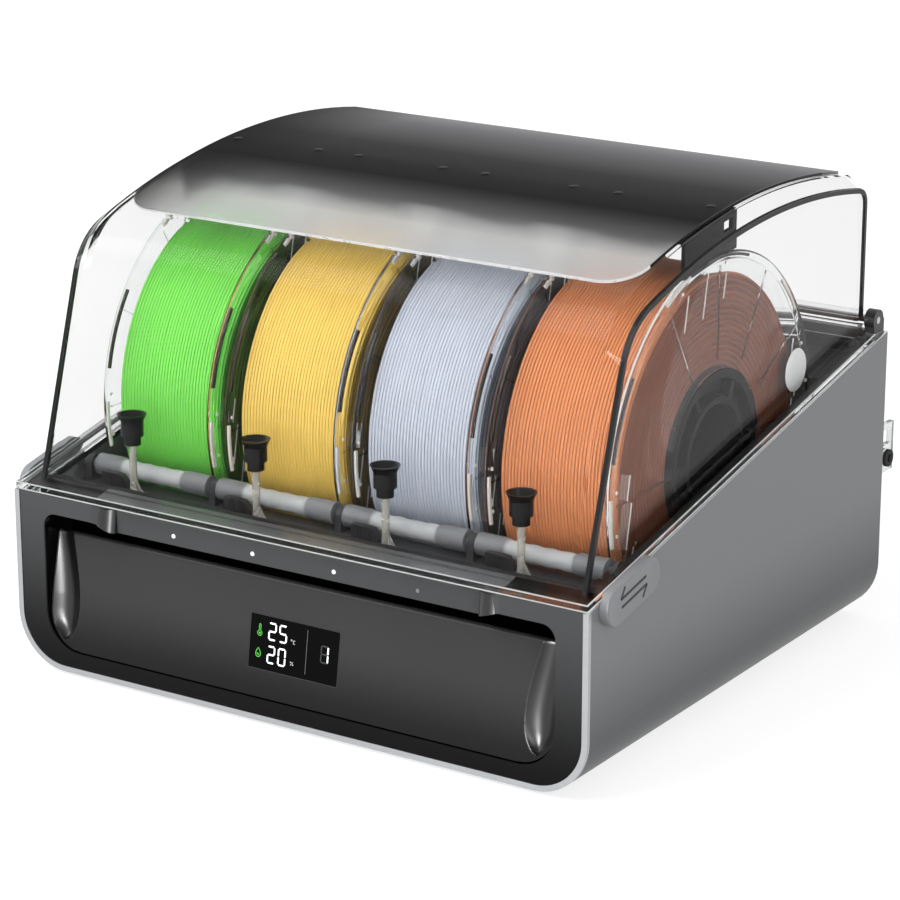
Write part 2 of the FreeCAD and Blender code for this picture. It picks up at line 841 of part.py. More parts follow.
def roller(x, end):
    y, z = roller_centre(end)
    half = (reel_pitch - post_thickness) / 2 - roller_end_gap
    return tube_x(x - half, x + half, y, z, roller_radius, axle_radius + axle_running_gap)


# Lid
def arch_z(y, drop):
    """Height of the arch's circle at y, drop below its outer face."""
    radius = arch_radius - drop
    return arch_peak_height - arch_radius + sqrt(radius ** 2 - (y - arch_peak_y) ** 2)


def lid_outline(x, inset, drop, lean):
    """Closed (y, z) outline of the lid at x: front wall, rounded arch and rear wall."""
    low = rim_front_height - far / 8
    tilt = radians(lean)
    along = Vector(0, sin(tilt), cos(tilt))
    inward = Vector(0, cos(tilt), -sin(tilt))
    base = Vector(x, lid_front_y, lid_front_base) + inward * inset
    foot = base - along * ((base.z - low) / along.z)
    centre = Vector(x, arch_peak_y, arch_peak_height - arch_radius)
    radius = arch_radius - drop - inset
    front_round = arch_front_round - inset
    rear_round = arch_rear_round - inset
    rear = lid_rear_y - inset
    c1 = base + inward * front_round
    gap = c1 - centre
    half_b = gap.dot(along)
    c1 = c1 + along * (-half_b + sqrt(half_b ** 2 - gap.Length ** 2 + (radius - front_round) ** 2))
    t1 = c1 - inward * front_round
    out1 = (c1 - centre).normalize()
    t2 = c1 + out1 * front_round
    c2_y = rear - rear_round
    c2 = Vector(x, c2_y, centre.z + sqrt((radius - rear_round) ** 2 - (c2_y - centre.y) ** 2))
    out2 = (c2 - centre).normalize()
    t3 = c2 + out2 * rear_round
    t4 = Vector(x, rear, c2.z)
    m1 = c1 + ((t1 - c1) + (t2 - c1)).normalize() * front_round
    m2 = centre + (out1 + out2).normalize() * radius
    m3 = c2 + ((t3 - c2) + (t4 - c2)).normalize() * rear_round
    end = Vector(x, rear, low)
    edges = [Part.LineSegment(foot, t1), Part.Arc(t1, m1, t2), Part.Arc(t2, m2, t3), Part.Arc(t3, m3, t4),
             Part.LineSegment(t4, end), Part.LineSegment(end, foot)]
    return Part.Wire([edge.toShape() for edge in edges])


def lid_form(inset):
    """Arched prism with a narrow bevel at each end, set in by inset."""
    end = lid_end_half - inset
    arch = lid_arch_half - inset
    wires = [lid_outline(-end, inset, arch_end_drop, lid_end_lean), lid_outline(-arch, inset, 0, lid_lean),
             lid_outline(arch, inset, 0, lid_lean), lid_outline(end, inset, arch_end_drop, lid_end_lean)]
    return Part.makeLoft(wires, True, True)


def lid_shell():
    walls = lid_form(0).cut(lid_form(lid_wall)).cut(below_rim(lid_gap))
    side = half_width - lid_flange_inset
    front = front_y + lid_flange_front_inset
    flange = between_rim_planes(lid_gap, lid_gap + lid_flange_thickness, front, lid_rear_y, side)
    hole = lid_end_half - lid_wall
    flange = flange.cut(box(-hole, hole, lid_front_y + lid_wall, lid_rear_y - lid_wall, 0, far))
    lid = walls.fuse(flange)
    for s in (-1, 1):
        x0 = min(s * barrel_inner, s * barrel_outer)
        x1 = max(s * barrel_inner, s * barrel_outer)
        barrel = rod_x(x0, x1, hinge_y, hinge_height, barrel_radius)
        half = web_thickness / 2
        web = box(x0, x1, lid_rear_y - lid_wall / 2, hinge_y, hinge_height - half, hinge_height + half)
        lid = lid.fuse(barrel.fuse(web))
        lid = lid.cut(rod_x(x0 - 1, x1 + 1, hinge_y, hinge_height, hinge_pin_radius + hinge_running_gap))
    return lid.removeSplitter()


def arch_strip(y0, y1, drop, thickness, half):
    """Curved strip that follows the arch, drop below its outer face."""
    middle = (y0 + y1) / 2
    low = drop + thickness
    x = -half
    a, b, c = [Vector(x, y, arch_z(y, drop)) for y in (y0, middle, y1)]
    d, e, f = [Vector(x, y, arch_z(y, low)) for y in (y1, middle, y0)]
    edges = [Part.Arc(a, b, c), Part.LineSegment(c, d), Part.Arc(d, e, f), Part.LineSegment(f, a)]
    face = Part.Face(Part.Wire([edge.toShape() for edge in edges]))
    return face.extrude(Vector(2 * half, 0, 0))


def lid_top_panel():
    y0 = front_y + panel_front
    y1 = lid_rear_y - panel_from_lid_rear
    spare = panel_corner
    sheet = arch_strip(y0 - spare, y1 + spare, -panel_gap - panel_thickness, panel_thickness,
                       panel_half_width + spare)
    plan = box(-panel_half_width, panel_half_width, y0, y1, 0, far)
    corners = [e for e in plan.Edges if abs(e.Length - far) < 1e-6 and e.CenterOfMass.y < y0 + 1]
    return sheet.common(plan.makeFillet(panel_corner, corners))


def lid_bar():
    bar = arch_strip(bar_front_y, bar_rear_y, lid_wall + panel_gap, bar_thickness, bar_half_width)
    for x, y in lid_screw_places():
        bar = bar.cut(cylinder((x, y, 0), screw_radius + seat_gap / 4, far, (0, 0, 1)))
    return bar


def bar_underside(y):
    return arch_z(y, lid_wall + panel_gap + bar_thickness)


def lid_screw_places():
    y = bar_front_y + lid_screw_from_bar
    return [(x + s * lid_screw_spacing / 2, y) for x in reel_xs for s in (-1, 1)]


def lid_screw(x, y):
    r = screw_head_radius
    z = min(bar_underside(y - r), bar_underside(y + r)) - seat_gap / 2
    head = cylinder((x, y, z - screw_head_height), screw_head_radius, screw_head_height, (0, 0, 1))
    return head.fuse(cylinder((x, y, z), screw_radius, lid_screw_length, (0, 0, 1)))


def reel_stop(x):
    """Block under the bar that keeps a reel from hopping, tapered to its rear."""
    half = stop_width / 2
    y0 = bar_front_y
    y1 = bar_rear_y - stop_rear_trim
    low = reel_top + stop_reel_gap
    points = [(y0, bar_underside(y0) - seat_gap), (y1, bar_underside(y0) - seat_gap),
              (y1 - stop_rear_trim, low), (y0 + stop_rear_trim / 2, low)]
    return prism_x(points, x - half, x + half)


# Side latches
def latch(side):
    """Pill-shaped slider on the side wall, with a tongue through the wall's slot and a head inside."""
    round_end = latch_height / 2
    straight = latch_length / 2 - round_end
    start = latch_gap
    end = latch_thickness + latch_gap
    pill = box(start, end, -straight, straight, -round_end, round_end)
    for y in (-straight, straight):
        pill = pill.fuse(rod_x(start, end, y, 0, round_end))
    inside = -shell_wall - latch_gap
    low = -tongue_drop - tongue_height / 2
    tongue = box(inside - tongue_head, start, -tongue_length / 2, tongue_length / 2, low, low + tongue_height)
    low = -tongue_drop - tongue_head_height / 2
    head = box(inside - tongue_head, inside, -tongue_length / 2, tongue_length / 2, low, low + tongue_head_height)
    shape = pill.removeSplitter().fuse(tongue).fuse(head).removeSplitter()
    if side < 0:
        shape = shape.mirror(Vector(0, 0, 0), Vector(1, 0, 0))
    shape.Placement = latch_place(side)
    return shape


os.makedirs("parts", exist_ok=True)
save("base_shell", base_shell())
save("front_edge_trim", front_edge_trim())
save("feet", *feet())
save("front_bezel", front_bezel())
save("status_lights", *status_lights())
save("display_fascia", display_fascia())
save("display_window", display_window())
save("control_board", control_board())
save("feed_deck", feed_deck())
save("feed_funnels", *[feed_funnel(x, y) for x, y in funnel_places()])
save("feed_tubes", *[feed_tube(x, y) for x, y in funnel_places()])
save("feed_gates", *[feed_gate(x, y) for x, y in funnel_places()])
save("feeder_modules", *feeder_modules())
save("reel_tray", reel_tray())
save("tray_screws", *[tray_screw(x, y) for x, y in tray_screw_places()])
save("desiccant_cases", *desiccant_cases())
save("rear_deck", rear_deck())
save("rear_clip", rear_clip())
save("clip_grommet", clip_grommet())
save("outlet_block", outlet_block())
save("power_socket", power_socket())
save("hinge_pins", *hinge_pins())
save("rim_seal", rim_seal())
save("roller_axles", *roller_axles())
for number, reel_x in enumerate(reel_xs, 1):
    save("reel_%d_left_flange" % number, reel_flange(reel_x, -1))
    save("reel_%d_right_flange" % number, reel_flange(reel_x, 1))
    save("reel_%d_hub" % number, reel_hub(reel_x))
    save("filament_%d_pack" % number, filament_pack(reel_x))
    save("filament_%d_turns" % number, filament_turns(reel_x))
    save("front_roller_%d" % number, roller(reel_x, "front"))
    save("rear_roller_%d" % number, roller(reel_x, "rear"))
save("lid_shell", lid_shell())
save("lid_top_panel", lid_top_panel())
save("lid_bar", lid_bar())
save("reel_stops", *[reel_stop(x) for x in reel_xs])
save("lid_screws", *[lid_screw(x, y) for x, y in lid_screw_places()])
save("latch_left", latch(-1))
save("latch_right", latch(1))
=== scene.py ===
from math import cos, pi, radians, sin, sqrt

import bmesh
import bpy
import numpy as np
from bpy.props import FloatProperty, FloatVectorProperty, IntProperty, PointerProperty
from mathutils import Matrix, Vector


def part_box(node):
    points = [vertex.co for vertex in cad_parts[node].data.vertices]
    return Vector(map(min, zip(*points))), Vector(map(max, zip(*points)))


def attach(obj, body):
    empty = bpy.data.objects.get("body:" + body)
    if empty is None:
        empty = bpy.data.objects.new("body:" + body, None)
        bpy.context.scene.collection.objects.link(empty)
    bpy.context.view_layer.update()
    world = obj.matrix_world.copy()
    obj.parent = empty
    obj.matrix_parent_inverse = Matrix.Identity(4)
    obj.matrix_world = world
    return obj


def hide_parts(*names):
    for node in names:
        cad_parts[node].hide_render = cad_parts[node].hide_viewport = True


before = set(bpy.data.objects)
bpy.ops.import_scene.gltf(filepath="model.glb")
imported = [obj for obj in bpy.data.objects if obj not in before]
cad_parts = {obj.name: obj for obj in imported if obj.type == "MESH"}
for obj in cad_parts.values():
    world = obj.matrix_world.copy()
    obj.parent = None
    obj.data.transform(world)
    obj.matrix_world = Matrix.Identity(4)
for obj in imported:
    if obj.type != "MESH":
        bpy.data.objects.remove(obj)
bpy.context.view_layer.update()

# Looks of a four-reel filament dryer box, built round its solids; metres, +X right, +Y to the rear, +Z up

bl_info = {
    "name": "Filament dryer box",
    "version": (1, 0, 0),
    "blender": (4, 5, 0),
    "location": "View3D > Sidebar > Dryer box",
    "description": "Dresses the solids of a four-reel filament dryer box",
    "category": "Object",
}

MM = 0.001
REELS = (1, 2, 3, 4)
SIDES = (-1, 1)
RIGHT = (1, 0, 0)
REAR = (0, 1, 0)
FRONT = (0, -1, 0)
UP = (0, 0, 1)
ON_AXIS = 0.01 * MM
TINY = 0.001 * MM


def linear(code):
    """An sRGB hex colour as the linear red, green and blue that shaders use."""
    values = np.array([int(code[i:i + 2], 16) for i in (0, 2, 4)]) / 255
    return np.where(values <= 0.04045, values / 12.92, ((values + 0.055) / 1.055) ** 2.4).tolist()


def middle_of(node):
    """Middle of a CAD node's box and half its size."""
    low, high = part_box(node)
    return (low + high) / 2, (high - low) / 2


# Sizes and colours that a user would change
def size(name, description, millimetres):
    """A length property; its default is in millimetres."""
    return FloatProperty(name=name, description=description, default=millimetres * MM, unit="LENGTH",
                         precision=4)


def angle(name, description, turn):
    """An angle property; its default is in degrees."""
    return FloatProperty(name=name, description=description, default=radians(turn), subtype="ANGLE")


def colour(name, description, code):
    """A colour property; its default is an sRGB hex code."""
    return FloatVectorProperty(name=name, description=description, default=linear(code), subtype="COLOR",
                               min=0, max=1)


class FrontLook(bpy.types.PropertyGroup):
    """Front bezel, fascia and display."""
    lean: angle("Fascia lean", "How far the fascia leans back from upright", 8.4)
    thickness: size("Fascia thickness", "Thickness of the fascia", 3)
    low_round: size("Fascia corner", "Radius of the fascia's lower corners", 22)
    top_round: size("Fascia top", "Radius of the fascia's top edge", 2.4)
    fascia_gap: size("Fascia gap", "Gap between the fascia's ends and its pocket", 0.6)
    strip_end: size("Strip end", "Length of each end of the hanging strip", 47)
    strip_step: size("Strip step", "Length of the slope at each step of that strip", 14)
    strip_proud: size("Strip bead", "How far the polished bead on that slope stands proud", 0.5)
    strip_drop: size("Strip drop", "How far the middle of the strip hangs below its ends", 4.5)
    strip_setback: size("Strip setback", "How far the middle of the strip is set back", 5)
    strip_height: size("Strip height", "Height of that strip's steps", 13)
    finger_gap: size("Finger gap", "Gap between the fascia's top and the strip", 7.5)
    scoop_edge: size("Scoop edge", "Fascia left outside a side scoop", 0.8)
    scoop_tip: size("Scoop tip", "Lowest point of a side scoop, in from the fascia's end", 10)
    scoop_top: size("Scoop top", "Width of a side scoop at the fascia's top", 11)
    scoop_swell: size("Scoop swell", "How far a side scoop swells at its widest", 7.5)
    scoop_foot: size("Scoop foot", "Height of the lowest point of a side scoop", 5.5)
    scoop_depth: size("Scoop depth", "Depth of a side scoop", 5)
    scoop_curl: size("Scoop curl", "How far a side scoop's outer edge curls back at the top", 2.5)
    light_radius: size("Light radius", "Radius of a status light", 1.15)
    digit_height: size("Digit height", "Height of a display digit", 8.7)
    digit_width: size("Digit width", "Width of a display digit", 4.2)
    digit_stroke: size("Digit stroke", "Width of a digit's segments", 0.9)
    mark_depth: size("Mark depth", "How far the display's marks stand proud", 0.08)
    # Bezel black and fascia black are the top ends of a painted shade gradient; foot black is the painted
    # shade at the foot of both.
    gloss: colour("Bezel black", "Gloss black of the bezel's top", "5A5B5C")
    fascia: colour("Fascia black", "Satin black of the fascia's upper part", "3E3E3F")
    foot: colour("Foot black", "Deeper black at the foot of both", "0C0C0D")
    digits: colour("Digits", "Light of the digits", "F4F6F8")
    icons: colour("Icons", "Light of the two icons", "4FC03C")


class ReelLook(bpy.types.PropertyGroup):
    """Reels and their windings."""
    turns: IntProperty(name="Turns", description="Turns in the outer layer of a winding", default=33, min=4)
    wire: size("Wire", "Diameter of the filament", 1.75)
    wander: size("Wander", "How far a turn strays along the reel", 0.02)
    side_gap: size("Side gap", "Gap between a winding and its right flange", 2.6)
    layer: size("Layer", "Distance between the ridges on a winding's sides", 3.2)
    ridge: size("Ridge", "Height of those ridges", 1.5)
    rib_count: IntProperty(name="Ribs", description="Ribs on each flange", default=12, min=3)
    rib_width: size("Rib width", "Width of a flange's rib", 1.2)
    rib_height: size("Rib height", "How far a rib stands out of its flange", 0.6)
    pin_groups: IntProperty(name="Pin groups", description="Groups of pins on a flange", default=4, min=1)
    pin_length: size("Pin length", "Length of a flange's small pins", 24)
    pin_radius: size("Pin radius", "Radius of those pins", 0.5)
    dash_count: IntProperty(name="Dashes", description="Dark dashes round a flange's rim", default=5, min=1)
    roller_band: size("Roller sleeve", "Half the length of a roller's slim sleeve", 20)
    label_radius: size("Label radius", "Radius of the blank label", 12)
    label_orbit: size("Label orbit", "Distance of the label from the reel's axis", 91)
    label_turn: angle("Label turn", "Angle of the label above the rear", 16)
    first: colour("First reel", "Colour of the first winding", "7CDC58")
    second: colour("Second reel", "Colour of the second winding", "ECCB66")
    third: colour("Third reel", "Colour of the third winding", "C6CCD8")
    fourth: colour("Fourth reel", "Colour of the fourth winding", "D68B5C")


class LidLook(bpy.types.PropertyGroup):
    """Clear lid; its outline repeats the solid's."""
    front: size("Front", "Foot of the front wall, behind the base's front", 12)
    foot: size("Foot", "Height of the foot of the front wall", 104)
    rear: size("Rear", "Rear wall, behind the base's front", 308)
    lean: angle("End lean", "Lean of the front wall at the ends", 16.9)
    peak: size("Peak", "Top of the arch, behind the base's front", 213)
    height: size("Height", "Height of the arch at its top", 267)
    radius: size("Arch radius", "Radius of the arch", 480)
    drop: size("End drop", "How far the ends lie below the arch", 7)
    front_round: size("Front round", "Radius between the front wall and the arch", 38)
    rear_round: size("Rear round", "Radius between the arch and the rear wall", 9)
    end: size("End", "Distance of the lid's ends from the middle", 171)
    panel_front: size("Panel front", "Front edge of the smoked panel, behind the base's front", 71)
    panel_round: size("Panel corner", "Radius of the smoked panel's corners", 20)
    panel_thickness: size("Panel thickness", "Thickness of the smoked panel", 1.5)
    # The dark line along each end is painted shade for the dark look of the lid's clear edge.
    line_width: size("Edge line", "Width of the dark line along each end", 2.2)
    line_proud: size("Edge proud", "How far that line stands proud", 0.25)
    screw_radius: size("Screw radius", "Radius of a screw mark on the panel", 2.6)
    screw_spacing: size("Screw spacing", "Distance between a pair of screws", 55)
    screw_line: size("Screw line", "Row of screws, behind the base's front", 168)


class LatchLook(bpy.types.PropertyGroup):
    """Side latches and their slide marks."""
    turn: angle("Turn", "Slope of the latch along the rim", 11.84)
    length: size("Length", "Length of a latch", 52)
    height: size("Height", "Height of a latch", 20)
    edge: size("Edge", "Radius of the latch's rounded edge", 1.2)
    arrow_length: size("Arrow length", "Length of a half arrow", 25)
    arrow_gap: size("Arrow gap", "Distance between the two half arrows", 4.4)
    arrow_stroke: size("Arrow stroke", "Width of a half arrow's line", 1.4)
    arrow_barb: size("Arrow barb", "Reach of a half arrow's barb", 5)


class StageLook(bpy.types.PropertyGroup):
    """Camera, light and floor."""
    azimuth: angle("Azimuth", "Camera's turn round the object", 33.013)
    elevation: angle("Elevation", "Camera's height above the horizon", 17.503)
    distance: size("Distance", "Camera's distance from its target", 1835.6)
    target: FloatVectorProperty(name="Target", description="Point that the camera looks at",
                                default=(-0.0006, -0.0152, 0.1127), subtype="TRANSLATION", unit="LENGTH")
    lens: FloatProperty(name="Lens", description="Focal length in millimetres", default=134.2, unit="CAMERA")
    floor_half: size("Floor", "Half the width of the floor", 8000)
    key: FloatProperty(name="Key light", description="Power of the key light", default=34, unit="POWER")
    fill: FloatProperty(name="Strip light", description="Power of each tall strip light", default=13,
                        unit="POWER")
    streak: FloatProperty(name="Streak light", description="Power of the light that only polished faces show",
                          default=130, unit="POWER")
    sky: FloatProperty(name="Sky", description="Strength of the even light from all round", default=0.55)
    floor: colour("Floor colour", "Colour of the floor", "A8A8A8")


# Shapes: each is a grid of points with its faces
def grid_faces(rows, columns, wrap_rows, wrap_columns):
    """Quads between neighbours on a grid; a wrapped side joins its last line to its first."""
    counts = rows - (not wrap_rows), columns - (not wrap_columns)
    i, j = np.meshgrid(*map(np.arange, counts), indexing="ij")
    down = (i + 1) % rows
    across = (j + 1) % columns
    return np.stack([i * columns + j, down * columns + j, down * columns + across, i * columns + across],
                    -1).reshape(-1, 4)


def surface(points, wrap_rows=False, wrap_columns=False):
    """A grid of points as a shape: all its points, and its faces in groups of one size."""
    rows, columns = points.shape[:2]
    return points.reshape(-1, 3), [grid_faces(rows, columns, wrap_rows, wrap_columns)]


def turned(outline, centre, steps, axis=0):
    """Closed outline of (along the axis, radius) turned about an axis through centre: X is 0 and Z is 2."""
    turn = np.linspace(0, 2 * pi, steps, endpoint=False)[:, None]
    along, radius = np.asarray(outline, float).T
    along = np.broadcast_to(along, (steps, len(along)))
    points = np.stack([along, radius * np.cos(turn), radius * np.sin(turn)], -1)
    return surface(np.roll(points, axis, -1) + np.array(centre), True, True)


def capped(rings):
    """Closed rings joined in order, with the first and the last drawn in to a point in their middle."""
    ends = [np.repeat(ring.mean(0)[None, None], rings.shape[1], 1) for ring in (rings[0], rings[-1])]
    return surface(np.concatenate([ends[0], rings, ends[1]]), False, True)


def carried(section, path, right, up):
    """Closed section of (right, up) offsets carried along a path; each direction is one for all the path's
    points, or one for each."""
    right = np.broadcast_to(right, path.shape)[:, None]
    up = np.broadcast_to(up, path.shape)[:, None]
    return capped(path[:, None] + section[None, :, :1] * right + section[None, :, 1:] * up)


def plane(origin, *ways):
    """Makes a function that maps distances along three ways (across, up, out) to points: the origin plus each
    way times its distance."""
    def place(*distances):
        return np.array(origin) + np.stack(np.broadcast_arrays(*distances), -1) @ np.array(ways, float)

    return place


def circle(radius, sides):
    """Points evenly round a circle."""
    turn = np.linspace(0, 2 * pi, sides, endpoint=False)
    return radius * np.stack([np.cos(turn), np.sin(turn)], -1)


def prism(outline, place, low, high):
    """Flat outline carried from low to high; place turns (across, up, out) into a point."""
    outline = np.asarray(outline, float)
    count = len(outline)
    ring = np.arange(count)
    after = (ring + 1) % count
    points = np.concatenate([place(*outline.T, low), place(*outline.T, high)])
    sides = np.stack([ring, after, after + count, ring + count], -1)
    return points, [sides, ring[None, ::-1], ring[None] + count]


def stroke(start, end, width):
    """Outline of a straight stroke with pointed ends, as on a segment display."""
    start = np.asarray(start, float)
    end = np.asarray(end, float)
    ahead = (end - start) / np.linalg.norm(end - start) * width / 2
    side = np.array([-ahead[1], ahead[0]])
    return [start, start + ahead - side, end - ahead - side, end, end - ahead + side, start + ahead + side]


def bar(start, end, width):
    """Outline of a straight stroke with square ends."""
    start = np.asarray(start, float)
    end = np.asarray(end, float)
    ahead = (end - start) / np.linalg.norm(end - start)
    side = np.array([-ahead[1], ahead[0]]) * width / 2
    return [start - side, end - side, end + side, start + side]


def piece(name, shapes, finish, body, slot, *replaced):
    """One object from its shapes: doubles merged, faces outwards, sharp edges kept."""
    sharp = radians(40)
    points = np.concatenate([shape[0] for shape in shapes])
    faces = []
    base = 0
    for shape_points, groups in shapes:
        for group in groups:
            faces.extend((group + base).tolist())
        base += len(shape_points)
    mesh = bpy.data.meshes.new(name)
    mesh.from_pydata(points.tolist(), [], faces)
    work = bmesh.new()
    work.from_mesh(mesh)
    bmesh.ops.remove_doubles(work, verts=work.verts, dist=TINY)
    bmesh.ops.recalc_face_normals(work, faces=work.faces)
    work.to_mesh(mesh)
    work.free()
    mesh.polygons.foreach_set("use_smooth", np.ones(len(mesh.polygons), bool))
    mesh.set_sharp_from_angle(angle=sharp)
    mesh.materials.append(finish)
    made = bpy.data.objects.new(name, mesh)
    bpy.context.scene.collection.objects.link(made)
    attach(made, body)
    if replaced:
        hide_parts(*replaced)


def dress(finish, *nodes):
    """Give CAD nodes a finish."""
    for node in nodes:
        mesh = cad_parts[node].data
        mesh.materials.clear()
        mesh.materials.append(finish)


# Materials
def add(tree, kind, inputs=None, **settings):
    """Adds one node with its settings, and values or links on its inputs."""
    node = tree.nodes.new("ShaderNode" + kind)
    for key, value in settings.items():
        setattr(node, key, value)
    for key, value in (inputs or {}).items():
        if isinstance(value, bpy.types.NodeSocket):
            tree.links.new(value, node.inputs[key])
        else:
            node.inputs[key].default_value = value
    return node


def material(name, sockets):
    """A new material: its node tree and its Principled shader, with the given sockets set."""
    made = bpy.data.materials.new(name)
    made.use_nodes = True
    tree = made.node_tree
    shader = tree.nodes["Principled BSDF"]
    for key, value in sockets.items():
        shader.inputs[key].default_value = value
    return made, tree, shader


def drift(tree, shader, base, share, patch, rough, rough_share, stretch=(1, 1, 1)):
    """Colour and roughness that drift by a share over patches of that size in millimetres."""
    place = add(tree, "TexCoord")
    turn = add(tree, "Mapping", {"Vector": place.outputs["Object"], "Scale": stretch})
    noise = add(tree, "TexNoise", {"Vector": turn.outputs[0], "Scale": 1 / (patch * MM), "Detail": 3.0})
    dark = [channel * (1 - share) for channel in base] + [1]
    light = [min(1, channel * (1 + share)) for channel in base] + [1]
    tone = add(tree, "Mix", {"Factor": noise.outputs[0], "A": dark, "B": light}, data_type="RGBA")
    spread = add(tree, "MapRange", {"Value": noise.outputs[0], "To Min": rough - rough_share,
                                    "To Max": rough + rough_share})
    tree.links.new(tone.outputs["Result"], shader.inputs["Base Color"])
    tree.links.new(spread.outputs[0], shader.inputs["Roughness"])
    return turn


def grain(tree, shader, place, spacing, height, strength):
    """Fine bump whose spots lie spacing millimetres apart and stand height millimetres high."""
    noise = add(tree, "TexNoise", {"Vector": place.outputs[0], "Scale": 1 / (spacing * MM), "Detail": 2.0})
    bump = add(tree, "Bump", {"Height": noise.outputs[0], "Distance": height * MM, "Strength": strength})
    tree.links.new(bump.outputs[0], shader.inputs["Normal"])


def tint(tree, shader, share, other):
    """Turns the base colour to another one, by a share that a node gives."""
    paint = shader.inputs["Base Color"].links[0].from_socket
    tone = add(tree, "Mix", {"Factor": share.outputs[0], "A": paint, "B": other + [1]}, data_type="RGBA")
    tree.links.new(tone.outputs["Result"], shader.inputs["Base Color"])


def paint_shade_to_foot(tree, shader, place, foot, low, high):
    """Paints shade: turns the base colour to the colour foot, smoothly, from the height high down to low."""
    split = add(tree, "SeparateXYZ", {"Vector": place.outputs[0]})
    depth = add(tree, "MapRange", {"Value": split.outputs["Z"], "From Min": low, "From Max": high,
                                   "To Min": 1.0, "To Max": 0.0}, interpolation_type="SMOOTHSTEP")
    tint(tree, shader, depth, foot)


def moulded(name, base, rough, spacing=1.2, share=0.06, strength=0.25, shine=0.3):
    """Moulded plastic: a slow drift in tone over 40 mm and fine grain, drawn coarse enough to show."""
    made, tree, shader = material(name, {"Specular IOR Level": shine})
    place = drift(tree, shader, base, share, 40, rough, 0.04)
    grain(tree, shader, place, spacing, 0.05, strength)
    return made


def painted_shell(top):
    """Grey ABS under satin paint: a mid grey, with painted shade that deepens it over the lowest 85 mm, a
    soft broad sheen and fine orange peel; the hinge knuckles, above top, are left dark."""
    made, tree, shader = material("satin_grey_abs_painted_foot_shade", {"Specular IOR Level": 0.3, "Coat Weight": 0.1,
                                                       "Coat Roughness": 0.3})
    place = drift(tree, shader, linear("808284"), 0.04, 40, 0.42, 0.04)
    grain(tree, shader, place, 0.9, 0.05, 0.2)
    # Painted shade: the grey darkens towards the foot over the lowest 85 mm.
    paint_shade_to_foot(tree, shader, place, linear("303234"), 0, 85 * MM)
    split = add(tree, "SeparateXYZ", {"Vector": place.outputs[0]})
    above = add(tree, "Math", {0: split.outputs["Z"], 1: top}, operation="GREATER_THAN")
    tint(tree, shader, above, linear("2A2B2C"))
    return made


def anodised_trim():
    """Anodised aluminium: bright and pale, with fine lines along its length, drawn 0.6 mm apart."""
    made, tree, shader = material("anodised_aluminium", {"Metallic": 1.0})
    place = drift(tree, shader, linear("A8AAAC"), 0.08, 0.6, 0.36, 0.06, (0.03, 1, 1))
    grain(tree, shader, place, 0.6, 0.02, 0.15)
    return made


def bright_edge():
    """Polished aluminium edge: nearly white, with soft lines along it, drawn 0.8 mm apart."""
    made, tree, shader = material("polished_aluminium", {"Metallic": 1.0})
    drift(tree, shader, linear("D6D8DA"), 0.06, 0.8, 0.22, 0.05, (1, 0.03, 1))
    return made


def gloss_black(name, base, rough):
    """Gloss black ABS: deep black with soft reflections that drift a little over 60 mm."""
    made, tree, shader = material(name, {"Specular IOR Level": 0.2})
    drift(tree, shader, base, 0.1, 60, rough, 0.02)
    return made


def front_black(name, foot, top, rough, shine, low, high):
    """Black ABS of the front: a soft reflection, and painted shade: a tone that deepens towards the foot."""
    made, tree, shader = material(name, {"Specular IOR Level": shine})
    place = drift(tree, shader, top, 0.06, 60, rough, 0.02)
    # Painted shade: the tone darkens to foot from high down to low.
    paint_shade_to_foot(tree, shader, place, foot, low, high)
    return made, tree, shader, place


def paint_pocket_shade(tree, shader, place, front_y, strip_x, strip_z):
    """Paints shade into the pocket: turns the base colour to near black behind front_y. The strip that hangs
    above strip_z, within strip_x of the middle, keeps its colour."""
    split = add(tree, "SeparateXYZ", {"Vector": place.outputs[0]})
    behind = add(tree, "Math", {0: split.outputs["Y"], 1: front_y}, operation="GREATER_THAN")
    reach = add(tree, "Math", {0: split.outputs["X"]}, operation="ABSOLUTE")
    between = add(tree, "Math", {0: reach.outputs[0], 1: strip_x}, operation="LESS_THAN")
    above = add(tree, "Math", {0: split.outputs["Z"], 1: strip_z}, operation="GREATER_THAN")
    strip = add(tree, "Math", {0: between.outputs[0], 1: above.outputs[0]}, operation="MULTIPLY")
    hollow = add(tree, "Math", {0: behind.outputs[0], 1: strip.outputs[0]}, operation="SUBTRACT",
                 use_clamp=True)
    # Painted shade: near black where the pocket lies in shade.
    tint(tree, shader, hollow, linear("040404"))


def polished_black():
    """Polished black ABS: lamps show in it as broad bright streaks; its tone drifts over 20 mm."""
    made, tree, shader = material("polished_black_abs", {"Specular IOR Level": 0.25, "Coat Weight": 0.5,
                                                         "Coat Roughness": 0.3})
    drift(tree, shader, linear("0A0A0B"), 0.1, 20, 0.36, 0.03)
    return made


def display_glass():
    """Dark acrylic: near black, faint sharp reflections, smears over 15 mm."""
    made, tree, shader = material("dark_acrylic", {"Specular IOR Level": 0.05})
    drift(tree, shader, linear("050506"), 0.2, 15, 0.1, 0.03)
    return made


def lit_mark(name, base, strength):
    """Lit segment behind glass: glows evenly, a little weaker in spots 2 mm wide."""
    made, tree, shader = material(name, {"Base Color": base + [1], "Emission Color": base + [1],
                                         "Roughness": 0.4})
    place = add(tree, "TexCoord")
    noise = add(tree, "TexNoise", {"Vector": place.outputs["Object"], "Scale": 1 / (2 * MM)})
    glow = add(tree, "MapRange", {"Value": noise.outputs[0], "To Min": 0.85 * strength,
                                  "To Max": 1.1 * strength})
    tree.links.new(glow.outputs[0], shader.inputs["Emission Strength"])
    return made


